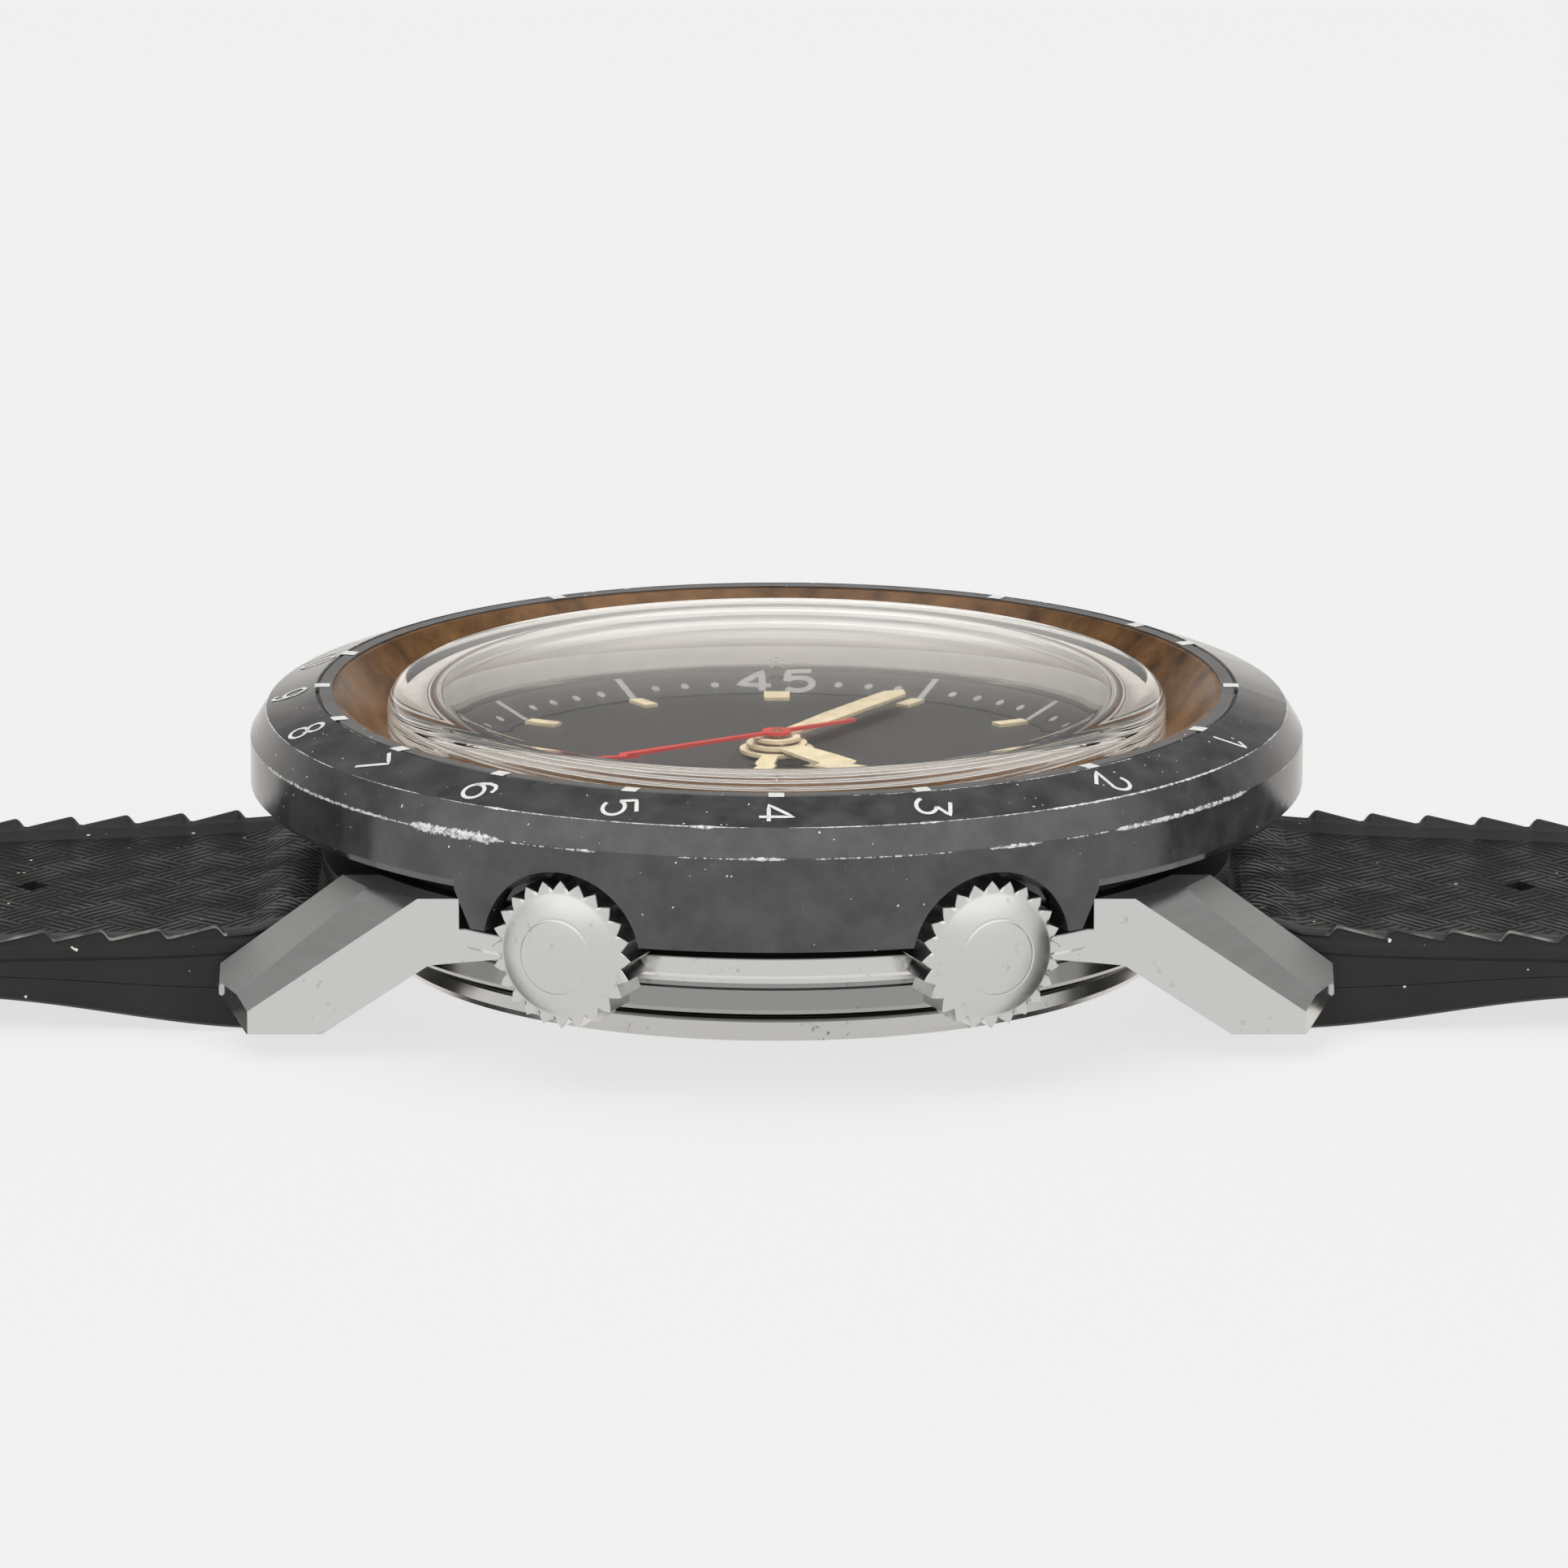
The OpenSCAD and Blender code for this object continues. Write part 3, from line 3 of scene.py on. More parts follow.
import bmesh
import bpy
import numpy as np
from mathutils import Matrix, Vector


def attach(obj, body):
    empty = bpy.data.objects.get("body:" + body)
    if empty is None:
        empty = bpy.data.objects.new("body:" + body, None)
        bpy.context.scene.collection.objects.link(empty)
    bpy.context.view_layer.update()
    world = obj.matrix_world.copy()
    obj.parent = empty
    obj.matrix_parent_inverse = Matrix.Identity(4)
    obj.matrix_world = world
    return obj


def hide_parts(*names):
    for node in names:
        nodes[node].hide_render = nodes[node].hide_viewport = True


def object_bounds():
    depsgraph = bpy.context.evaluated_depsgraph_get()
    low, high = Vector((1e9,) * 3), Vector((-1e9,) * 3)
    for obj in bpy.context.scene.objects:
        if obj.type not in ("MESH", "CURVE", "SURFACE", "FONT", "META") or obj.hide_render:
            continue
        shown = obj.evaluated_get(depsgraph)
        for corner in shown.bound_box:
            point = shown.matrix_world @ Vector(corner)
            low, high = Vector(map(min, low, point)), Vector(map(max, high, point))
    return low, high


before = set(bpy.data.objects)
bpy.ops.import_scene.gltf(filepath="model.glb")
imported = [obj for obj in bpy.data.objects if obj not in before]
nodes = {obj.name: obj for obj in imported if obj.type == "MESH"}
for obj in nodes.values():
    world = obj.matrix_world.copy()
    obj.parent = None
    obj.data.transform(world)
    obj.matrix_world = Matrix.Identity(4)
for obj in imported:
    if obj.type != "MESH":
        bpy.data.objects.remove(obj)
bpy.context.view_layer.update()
MM = 0.001

# ---------------------------------------------------------------- case middle
# The case middle is one steel forging with four faceted lugs, milled, satined on its flanks and polished
# on the band. It carries the bezel, the crystal and the movement. Under the brim the steel is painted dark: painted
# shade in the gap under the bezel, with old grime.


def finish(name, colour, roughness, metallic=0.0, **sockets):
    """A new finish with its uniform values on the shader's own sockets."""
    made = bpy.data.materials.new(name)
    made.use_nodes = True
    shader = made.node_tree.nodes["Principled BSDF"]
    shader.inputs["Base Color"].default_value = (*colour, 1)
    shader.inputs["Roughness"].default_value = roughness
    shader.inputs["Metallic"].default_value = metallic
    for socket, value in sockets.items():
        shader.inputs[socket.replace("_", " ")].default_value = value
    return made


def add(made, kind, ins, **settings):
    """Adds one shader node; an input that is a socket is linked, any other is its value."""
    n = made.node_tree.nodes.new("ShaderNode" + kind)
    for key, value in settings.items():
        setattr(n, key, value)
    for key, value in ins.items():
        if isinstance(value, bpy.types.NodeSocket):
            made.node_tree.links.new(value, n.inputs[key])
        else:
            n.inputs[key].default_value = value
    return n


def calc(made, operation, a, b=0.0):
    """One arithmetic step on two values or sockets."""
    return add(made, "Math", {0: a, 1: b}, operation=operation).outputs[0]


def on_shader(made, **links):
    """Links sockets to the shader's inputs by name."""
    shader = made.node_tree.nodes["Principled BSDF"]
    for key, socket in links.items():
        made.node_tree.links.new(socket, shader.inputs[key.replace("_", " ")])


def span(made, value, low, high, from_value=0.0, to_value=1.0):
    """Maps a value from one span onto another, clamped."""
    return add(made, "MapRange", {0: value, 1: low, 2: high, 3: from_value, 4: to_value}).outputs[0]


def noise(made, at, scale, detail=2.0, roughness=0.5):
    """A noise value at a place."""
    return add(made, "TexNoise", {"Vector": at, "Scale": scale, "Detail": detail, "Roughness": roughness}).outputs[0]


def blend(made, share, first, second):
    """A mix of two colours."""
    return add(made, "Mix", {0: share, 6: first, 7: second}, data_type="RGBA").outputs[2]


def places(made):
    """Object coordinates, their three parts, and the distance from the watch's axis."""
    at = add(made, "TexCoord", {}).outputs["Object"]
    x, y, z = add(made, "SeparateXYZ", {0: at}).outputs
    away = calc(made, "SQRT", calc(made, "ADD", calc(made, "MULTIPLY", x, x), calc(made, "MULTIPLY", y, y)))
    return at, x, y, z, away


def steel(name, colour, roughness, grain=(300, 4000, 4000), stain=0.25, bump=0.05, dark_rings=(), brushed_top=0.0):
    """Steel with fine brush lines, soft stains and specks, and rings painted near black, each given as
    inner and outer radius, lower and upper height in millimetres."""
    made = finish(name, colour, roughness, 1.0)
    at, x, y, z, away = places(made)
    brush = noise(made, add(made, "Mapping", {0: at, 3: grain}).outputs[0], 1.0, 3.0)
    cloud = noise(made, at, 500.0, 5.0, 0.6)
    speck = noise(made, at, 3600.0, 2.0)
    dirt = calc(made, "MULTIPLY", span(made, cloud, 0.5, 0.7), span(made, speck, 0.62, 0.7))
    stains_and_shade = blend(made, span(made, dirt, 0, 1, 0, stain), (*colour, 1), tuple(c * 0.25 for c in colour) + (1,))
    ring_darkness = 0.0
    for inner, outer, low, high in dark_rings:
        ring = calc(made, "MULTIPLY", span(made, away, (inner - 0.02) * MM, inner * MM),
                    span(made, away, outer * MM, (outer + 0.02) * MM, 1, 0))
        level = calc(made, "MULTIPLY", span(made, z, (low - 0.04) * MM, (low + 0.04) * MM),
                     span(made, z, (high - 0.04) * MM, (high + 0.04) * MM, 1, 0))
        ring_darkness = calc(made, "MAXIMUM", ring_darkness, calc(made, "MULTIPLY", ring, level))
    rough = calc(made, "ADD", span(made, brush, 0.3, 0.7, roughness * 0.85, roughness * 1.2),
                 span(made, dirt, 0, 1, 0, 0.25))
    bumps = add(made, "Bump", {"Strength": bump, "Distance": 0.00003, "Height": brush})
    on_shader(made, Normal=bumps.outputs[0])
    # Inside the rings the colour is painted near black; the case's ring under the bezel is painted shade with grime.
    if dark_rings:
        stains_and_shade = blend(made, ring_darkness, stains_and_shade, (0.006, 0.006, 0.005, 1))
        rough = calc(made, "ADD", rough, span(made, ring_darkness, 0, 1, 0, 0.4))
    if brushed_top:
        tilt = add(made, "SeparateXYZ", {0: add(made, "NewGeometry", {}).outputs["Normal"]}).outputs[2]
        rough = calc(made, "MAXIMUM", rough, span(made, tilt, 0.74, 0.76, 0, brushed_top))
    on_shader(made, Base_Color=stains_and_shade, Roughness=rough)
    return made


def wear(made, *names):
    """Gives CAD nodes a finish."""
    for name in names:
        nodes[name].data.materials.clear()
        nodes[name].data.materials.append(made)


# The ring round the neck under the bezel is painted near black: painted shade in the gap between bezel and case, with
# old grime.
case_steel = steel("case_steel", (0.76, 0.755, 0.74), 0.17, grain=(500, 500, 3000), stain=0.4,
                   dark_rings=((15.8, 17.45, 3.88, 8.0),), brushed_top=0.5)
wear(case_steel, "case_middle")

# ---------------------------------------------------------------- spring bars
# Two turned steel bars with thin spring-loaded tips, which snap into the lugs' blind holes and hold
# the strap.

wear(steel("bar_steel", (0.6, 0.6, 0.59), 0.3, grain=(3000, 300, 3000)), "spring_bars", "buckle_bar")

# ---------------------------------------------------------------- case back
# The back is double: a thin sounding steel back that the alarm hammer strikes through its post, and
# an outer lid with eight sound holes. A rubber gasket seals the sounding back against the case.

sound_steel = steel("sound_steel", (0.36, 0.36, 0.352), 0.13, grain=(600, 600, 600), stain=0.6)
wear(sound_steel, "sound_back", "movement_ring", "tension_ring")
back_steel = steel("back_steel", (0.66, 0.65, 0.63), 0.2, grain=(600, 600, 600), stain=1.0,
                   dark_rings=((10.0, 16.5, 0.93, 1.6),))
wear(back_steel, "outer_back")
gasket_rubber = finish("gasket_rubber", (0.02, 0.02, 0.02), 0.6)
pores = noise(gasket_rubber, places(gasket_rubber)[0], 5000.0)
on_shader(gasket_rubber, Normal=add(gasket_rubber, "Bump", {
    "Strength": 0.2, "Distance": 0.00002, "Height": pores}).outputs[0])
wear(gasket_rubber, "back_gasket", "time_crown_gasket", "alarm_crown_gasket")

# ---------------------------------------------------------------- bezel
# The bezel is a wide brim turned from light alloy and coated black. It snaps over the neck of the
# case. Its edges are worn bright, with ragged chips in places, and fine dust lies on the coat.

bezel_black = finish("bezel_black", (0.012, 0.012, 0.014), 0.2, Specular_IOR_Level=0.9)
at, x, y, z, away = places(bezel_black)
angle = calc(bezel_black, "ARCTAN2", x, calc(bezel_black, "MULTIPLY", y, -1.0))
patchy = noise(bezel_black, at, 330.0, 3.0)
ragged = noise(bezel_black, at, 4800.0, 6.0, 0.8)


def arc(low, high):
    """1 on the bezel between two angles from 6 o'clock, in degrees, with soft ends."""
    soft = math.radians(2.0)
    low, high = math.radians(low), math.radians(high)
    return calc(bezel_black, "MULTIPLY", span(bezel_black, angle, low, low + soft),
                span(bezel_black, angle, high - soft, high, 1, 0))


bright = 0.0
for edge_r, edge_z, thin, arcs in (
        (19.97, 8.36, 0.055, ((-43, -30, 0.27), (-74, -44, 0.09), (-24, -18, 0.08), (-5, 2, 0.1),
                              (9, 12, 0.1), (22, 30, 0.1), (38, 62, 0.13))),
        (19.4, 9.4, 0.04, ((-34, -30, 0.1), (-10, -6, 0.16), (14, 19, 0.08), (30, 60, 0.07))),
        (17.5, 10.1, 0.03, ((8, 50, 0.08), (-70, -50, 0.05)))):
    dr = calc(bezel_black, "SUBTRACT", away, edge_r * MM)
    dz = calc(bezel_black, "SUBTRACT", z, edge_z * MM)
    near = calc(bezel_black, "SQRT", calc(bezel_black, "ADD", calc(bezel_black, "MULTIPLY", dr, dr),
                                          calc(bezel_black, "MULTIPLY", dz, dz)))
    reach = calc(bezel_black, "MULTIPLY", span(bezel_black, patchy, 0.38, 0.56), thin * MM)
    for low, high, wide in arcs:
        reach = calc(bezel_black, "MAXIMUM", reach, calc(bezel_black, "MULTIPLY", arc(low, high), wide * MM))
    share = calc(bezel_black, "SUBTRACT", 1.0, calc(
        bezel_black, "DIVIDE", near, calc(bezel_black, "ADD", reach, 1e-6)))
    rag = calc(bezel_black, "MULTIPLY", calc(bezel_black, "SUBTRACT", ragged, 0.5), 2.6)
    seen = span(bezel_black, calc(bezel_black, "ADD", share, rag), 0.42, 0.5)
    bright = calc(bezel_black, "MAXIMUM", bright, calc(
        bezel_black, "MULTIPLY", seen, span(bezel_black, share, 0.0, 0.08)))
dust = span(bezel_black, noise(bezel_black, at, 4600.0, 1.0), 0.775, 0.79)
broken = span(bezel_black, noise(bezel_black, at, 5200.0, 4.0, 0.7), 0.4, 0.52, 0.25, 1.0)
bright = calc(bezel_black, "MAXIMUM", calc(bezel_black, "MULTIPLY", bright, broken), dust)
cloudy = noise(bezel_black, at, 700.0, 6.0, 0.6)
coat = blend(bezel_black, span(bezel_black, cloudy, 0.35, 0.7), (0.02, 0.02, 0.0205, 1), (0.05, 0.049, 0.05, 1))
fine = noise(bezel_black, at, 7000.0, 3.0)
on_shader(bezel_black, Base_Color=blend(bezel_black, bright, coat, (0.6, 0.6, 0.59, 1)),
          Roughness=calc(bezel_black, "ADD", span(bezel_black, cloudy, 0.35, 0.7, 0.11, 0.2),
                         calc(bezel_black, "MULTIPLY", bright, 0.3)),
          Normal=add(bezel_black, "Bump", {"Strength": 0.1, "Distance": 0.00002, "Height": fine}).outputs[0])
wear(bezel_black, "bezel")

# ---------------------------------------------------------------- bezel numbers
# Thin pale numbers and ticks are filled into the coat of the bezel's sloping band. They count from
# 1 to 10, all read with their tops towards 12 o'clock.

NUMBER_H, NUMBER_W, STROKE, NUMBER_R = 1.25, 1.1, 0.15, 18.55
STROKES = {
    "0": [[(0.5 + 0.42 * math.sin(a), 0.5 + 0.5 * math.cos(a)) for a in np.linspace(0, 2 * math.pi, 33)]],
    "1": [[(0.2, 0.78), (0.55, 1.0), (0.55, 0.0)]],
    "2": [[(0.12, 0.74)] + [(0.5 + 0.38 * math.cos(a), 0.68 + 0.32 * math.sin(a))
                            for a in np.linspace(math.pi * 0.95, -0.5, 16)] + [(0.1, 0.0), (0.92, 0.0)]],
    "3": [[(0.12, 1.0), (0.85, 1.0), (0.45, 0.6)] + [(0.46 + 0.42 * math.cos(a), 0.3 + 0.3 * math.sin(a))
                                                  for a in np.linspace(1.6, -2.6, 18)]],
    "4": [[(0.7, 0.0), (0.7, 1.0), (0.06, 0.28), (0.95, 0.28)]],
    "5": [[(0.85, 1.0), (0.22, 1.0), (0.16, 0.52)] + [(0.48 + 0.4 * math.cos(a), 0.33 + 0.33 * math.sin(a))
                                                    for a in np.linspace(2.2, -2.5, 18)]],
    "6": [[(0.84, 0.84), (0.68, 0.97), (0.48, 0.98), (0.28, 0.82), (0.15, 0.58)]
          + [(0.5 + 0.39 * math.cos(a), 0.32 + 0.32 * math.sin(a))
             for a in np.linspace(3.0, 3.0 - 2 * math.pi, 26)]],
    "7": [[(0.1, 1.0), (0.9, 1.0), (0.38, 0.0)]],
    "8": [[(0.5 + 0.32 * math.cos(a), 0.76 + 0.24 * math.sin(a)) for a in np.linspace(-1.57, 4.71, 24)],
          [(0.5 + 0.4 * math.cos(a), 0.26 + 0.26 * math.sin(a)) for a in np.linspace(1.57, 7.85, 24)]],
    "9": [[(0.16, 0.16), (0.32, 0.03), (0.52, 0.02), (0.72, 0.18), (0.85, 0.42)]
          + [(0.5 + 0.39 * math.cos(a), 0.68 + 0.32 * math.sin(a))
             for a in np.linspace(-0.14, -0.14 + 2 * math.pi, 26)]],
}


def ribbon(path, width):
    """A flat band of a given width along a plan path: left and right edges by the path's normals."""
    p = np.asarray(path, float)
    closed = np.allclose(p[0], p[-1])
    t = np.gradient(p, axis=0)
    if closed:
        t[0] = t[-1] = p[1] - p[-2]
    t /= np.linalg.norm(t, axis=1)[:, None] + 1e-9
    n = np.stack([-t[:, 1], t[:, 0]], axis=1) * width / 2
    k = len(p)
    quads = [(i, i + 1, k + i + 1, k + i) for i in range(k - 1)]
    return np.concatenate([p - n, p + n]), quads


def number_bands(text, height, width, stroke):
    """The strokes of a number as bands, centred, upright along its own second axis."""
    verts, faces, base = [], [], 0
    step = width * 1.22
    for place, digit in enumerate(text):
        for path in STROKES[digit]:
            p = np.array(path) * (width, height) + (place * step, 0)
            dense = np.concatenate([np.linspace(p[i], p[i + 1], 5)[:-1] for i in range(len(p) - 1)] + [p[-1:]])
            v, f = ribbon(dense, stroke)
            verts.append(v)
            faces += [tuple(base + q for q in quad) for quad in f]
            base += len(v)
    v = np.concatenate(verts)
    return v - ((len(text) - 1) * step / 2 + width / 2, height / 2), faces


def mesh_piece(name, verts, faces, made, body, smooth=True):
    """A new mesh at the origin, given in millimetres, with its finish, riding on a body."""
    mesh = bpy.data.meshes.new(name)
    mesh.from_pydata((np.asarray(verts, float) * MM).tolist(), [], [tuple(map(int, f)) for f in faces])
    mesh.polygons.foreach_set("use_smooth", [smooth] * len(mesh.polygons))
    mesh.materials.append(made)
    mesh.update()
    piece = bpy.data.objects.new(name, mesh)
    bpy.context.scene.collection.objects.link(piece)
    if body:
        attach(piece, body)
    return piece


def bezel_height(r):
    """Height of the bezel's top at a radius: flat to 17.53 mm, sloping to (19.4, 9.4), then the chamfer."""
    return np.interp(r, [16.9, 17.53, 19.4, 20.0], [10.1, 10.1, 9.4, 8.4])


number_white = finish("number_white", (0.62, 0.62, 0.6), 0.6)
tone = noise(number_white, places(number_white)[0], 3000.0)
on_shader(number_white, Base_Color=blend(number_white, tone, (0.42, 0.42, 0.41, 1), (0.62, 0.62, 0.6, 1)))
verts, faces, base = [], [], 0
for number, hour_angle in zip(range(1, 11), (24, 48, 72, 90, 108, 126, 144, 162, 180, 198)):
    a = math.radians(-hour_angle)
    v, f = number_bands(str(number), NUMBER_H, NUMBER_W, STROKE)
    px = NUMBER_R * math.cos(a) + v[:, 1]
    py = NUMBER_R * math.sin(a) - v[:, 0]
    verts.append(np.stack([px, py, bezel_height(np.hypot(px, py)) + 0.02], axis=1))
    faces += [tuple(base + q for q in quad) for quad in f]
    base += len(v)
for hour_angle in (0, 24, 48, 72, 90, 108, 126, 144, 162, 180, 198, 240, 300, 324, 336):
    a = math.radians(-hour_angle)
    r = np.array([16.98, 17.2, 17.4, 17.56])
    side = np.array([-0.29, 0.29])
    px = (r[:, None] * math.cos(a) - side * math.sin(a)).ravel()
    py = (r[:, None] * math.sin(a) + side * math.cos(a)).ravel()
    verts.append(np.stack([px, py, bezel_height(np.hypot(px, py)) + 0.015], axis=1))
    faces += [(base + 2 * i, base + 2 * i + 2, base + 2 * i + 3, base + 2 * i + 1) for i in range(3)]
    base += 8
numbers = mesh_piece("bezel_numbers", np.concatenate(verts), faces, number_white, "case", smooth=False)

# ---------------------------------------------------------------- flange ring
# A lacquered ring lies between the crystal and the bezel. Its lacquer has aged to a mottled amber.

amber = finish("amber_lacquer", (0.2, 0.1, 0.035), 0.3)
at, x, y, z, away = places(amber)
mottle = noise(amber, at, 420.0, 8.0, 0.65)
shades = add(amber, "ValToRGB", {0: mottle})
for place, colour in zip((0, 1), ((0.03, 0.012, 0.003, 1), (0.165, 0.08, 0.027, 1))):
    shades.color_ramp.elements[place].color = colour
shades.color_ramp.elements[0].position, shades.color_ramp.elements[1].position = 0.34, 0.68
on_shader(amber, Base_Color=shades.outputs[0], Normal=add(amber, "Bump", {
    "Strength": 0.25, "Distance": 0.00006, "Height": mottle}).outputs[0])
wear(amber, "flange_ring")

# ---------------------------------------------------------------- crystal
# The crystal is one thick domed piece of acrylic, moulded and polished, pressed over a steel tension
# ring. It has fine hairline scratches. Its foot is frosted; its lower inner wall shows a satin ring.


def cap(r, z, rise, n):
    """Points of a shallow ball cap from its rim (r, z) to its centre: the ball's radius is
    (r^2 + rise^2) / (2 rise)."""
    ball = (r * r + rise * rise) / (2 * rise)
    a = np.linspace(math.asin(r / ball), 0, n)
    return np.stack([ball * np.sin(a), z + rise - ball * (1 - np.cos(a))], axis=1)


def corner(r, z, soft, turn, n):
    """Points of a rounded shoulder from the upright wall at r, over a radius, to a slope of its cap."""
    a = np.linspace(0, math.pi / 2 - turn, n)
    return np.stack([r - soft + soft * np.cos(a), z - soft + soft * np.sin(a)], axis=1)


def turned(profile, n):
    """A closed profile turned round the Z axis: x = r cos(a), y = r sin(a)."""
    profile = np.asarray(profile)
    a = np.linspace(0, 2 * math.pi, n, endpoint=False)
    r, h = profile[:, 0], profile[:, 1]
    v = np.stack([np.outer(np.cos(a), r), np.outer(np.sin(a), r), np.tile(h, (n, 1))], axis=2).reshape(-1, 3)
    m = len(profile)
    i, j = np.meshgrid(np.arange(n), np.arange(m), indexing="ij")
    k = (i + 1) % n
    f = np.stack([i * m + j, k * m + j, k * m + (j + 1) % m, i * m + (j + 1) % m], axis=2).reshape(-1, 4)
    return v, f.tolist()


def outward(piece):
    """Joins doubled points and turns all faces of a closed piece outwards."""
    work = bmesh.new()
    work.from_mesh(piece.data)
    bmesh.ops.remove_doubles(work, verts=work.verts, dist=1e-7)
    bmesh.ops.recalc_face_normals(work, faces=work.faces)
    work.to_mesh(piece.data)
    work.free()


acrylic = finish("acrylic", (0.99, 0.985, 0.97), 0.012, IOR=1.49, Transmission_Weight=1.0)
hairs = noise(acrylic, add(acrylic, "Mapping", {0: places(acrylic)[0], 3: (250, 4000, 250)}).outputs[0], 1.0)
on_shader(acrylic, Roughness=span(acrylic, hairs, 0.45, 0.75, 0.0, 0.03))
OUT_R, IN_R, FOOT_Z = 14.8, 13.1, 6.6
outside = np.concatenate([[(OUT_R, FOOT_Z), (OUT_R, FOOT_Z + 0.02), (OUT_R, 7.9), (OUT_R, 9.2)],
                          corner(OUT_R, 10.294, 0.9, 0.122, 36), cap(13.9, 10.3, 0.85, 44)[1:-1], [(0.01, 11.15)]])
inside = np.concatenate([[(IN_R, FOOT_Z), (IN_R, FOOT_Z + 0.02), (IN_R, 7.4)],
                         corner(IN_R, 8.75, 0.7, 0.116, 28), cap(12.4, 8.75, 0.7225, 44)[1:-1], [(0.01, 9.4725)]])
verts, faces = turned(np.concatenate([outside, inside[::-1]]), 400)
crystal = mesh_piece("crystal_dome", verts, faces, acrylic, "case")
frosted = finish("frosted_foot", (0.8, 0.78, 0.75), 0.5)
grit = noise(frosted, places(frosted)[0], 2500.0)
on_shader(frosted, Base_Color=blend(frosted, grit, (0.72, 0.7, 0.67, 1), (0.86, 0.84, 0.81, 1)))
crystal.data.materials.append(frosted)
ring_face = finish("ring_face", (0.6, 0.56, 0.52), 0.35, 0.4)
grit = noise(ring_face, places(ring_face)[0], 1200.0)
on_shader(ring_face, Base_Color=blend(ring_face, grit, (0.54, 0.5, 0.46, 1), (0.72, 0.68, 0.64, 1)))
crystal.data.materials.append(ring_face)
around = len(outside) + len(inside)
place = np.arange(len(faces)) % around
crystal.data.polygons.foreach_set("material_index", np.where(place < 2, 1, 0) + np.where(place > around - 5, 2, 0))
outward(crystal)
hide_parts("crystal")
crystal.visible_shadow = False

# ---------------------------------------------------------------- crowns
# Two steel crowns with saw-cut rims wind and set the time and the alarm. Each screws onto a stem that
# runs through a tube with a gasket.

crown_steel = steel("crown_steel", (0.76, 0.755, 0.735), 0.3, grain=(900, 900, 900), stain=0.5)
wear(crown_steel, "time_crown", "alarm_crown", "time_tube", "alarm_tube")


TEETH, RIM_R, TOOTH, DOME_R, DOME = 24, 2.8, 0.38, 2.3, 0.68
BORE_R, BORE_H, BACK_R = 1.74, 1.75, 2.3
CROWN_AT, STEM_Z = 17.75, 4.3


def crown_skin(angle):
    """A crown turned about its stem: the rim's radius falls from 2.8 mm by 0.38 mm between 24 teeth; the
    front is a cap that rises 0.68 mm over 2.3 mm, with a shallow turned ring; the back is hollow."""
    n = TEETH * 8
    share = np.arange(n) % 8 / 8
    rim = RIM_R - TOOTH * (1 - np.abs(1 - 2 * share))
    full = np.ones(n)
    r = np.concatenate([np.linspace(0.01, 1.3, 12), [1.36, 1.4, 1.44, 1.5], np.linspace(1.6, DOME_R, 12)])
    h = 2.12 + DOME * (1 - (r / DOME_R) ** 2)
    h[13:15] -= 0.03
    rows = [(full * 0.01, full * BORE_H), (full * BORE_R, full * BORE_H), (full * BORE_R, full * 0.0),
            (full * BACK_R, full * 0.0), (rim - 0.02, full * 0.28), (rim, full * 0.32), (rim, full * 2.02),
            (rim - 0.03, full * 2.05), (full * 2.36, full * 2.1)]
    rows += [(full * a, full * b) for a, b in zip(r[::-1], h[::-1])]
    turn = np.linspace(0, 2 * math.pi, n, endpoint=False)
    out, along = np.array([math.cos(angle), math.sin(angle), 0]), np.array([-math.sin(angle), math.cos(angle), 0])
    centre = out * CROWN_AT + (0, 0, STEM_Z)
    v = np.concatenate([centre + out * hh[:, None] + along * (rr * np.cos(turn))[:, None]
                        + np.array([0, 0, 1]) * (rr * np.sin(turn))[:, None] for rr, hh in rows])
    m = len(rows)
    i, j = np.meshgrid(np.arange(m - 1), np.arange(n), indexing="ij")
    f = np.stack([i * n + j, i * n + (j + 1) % n, (i + 1) * n + (j + 1) % n, (i + 1) * n + j], axis=2)
    return v, f.reshape(-1, 4).tolist() + [list(range(n)), list(range((m - 1) * n, m * n))]


def creased(piece, degrees):
    """Keeps edges sharper than an angle crisp and the rest smooth."""
    work = bmesh.new()
    work.from_mesh(piece.data)
    for edge in work.edges:
        edge.smooth = edge.calc_face_angle(0.0) < math.radians(degrees)
    work.to_mesh(piece.data)
    work.free()


for name, angle in (("time_crown", -113.5), ("alarm_crown", -66.5)):
    verts, faces = crown_skin(math.radians(angle))
    crown = mesh_piece(name + "_turned", verts, faces, crown_steel, name)
    outward(crown)
    creased(crown, 28)
    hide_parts(name)

# ---------------------------------------------------------------- movement
# The movement is rhodium-plated brass: a mainplate and bridges held by blued screws, brass wheels on
# steel pinions, ruby jewels, a brass balance with a blued spring.

rhodium = steel("rhodium_plate", (0.7, 0.69, 0.66), 0.28, grain=(900, 3000, 900), stain=0.1, bump=0.1)
wear(rhodium, "mainplate", "barrel_bridge", "alarm_bridge", "train_bridge", "pallet_bridge", "balance_cock")
wear(steel("wheel_brass", (0.72, 0.5, 0.22), 0.22, grain=(2500, 2500, 2500), stain=0.15),
     "time_barrel", "alarm_barrel", "center_wheel", "third_wheel", "fourth_wheel", "balance_wheel",
     "minute_wheel", "hour_wheel")
wear(steel("train_steel", (0.6, 0.6, 0.61), 0.18, grain=(3000, 3000, 3000), stain=0.1),
     "time_stem", "alarm_stem", "time_winding_pinion", "alarm_winding_pinion", "time_crown_wheel",
     "alarm_crown_wheel", "time_ratchet", "alarm_ratchet", "alarm_hammer", "escape_wheel", "pallet_fork",
     "cannon_pinion", "alarm_wheel")
wear(steel("blued_steel", (0.06, 0.1, 0.36), 0.2, grain=(3000, 3000, 3000), stain=0.1),
     "hairspring", "bridge_screws")
ruby = finish("ruby", (0.5, 0.02, 0.07), 0.05, IOR=1.76)
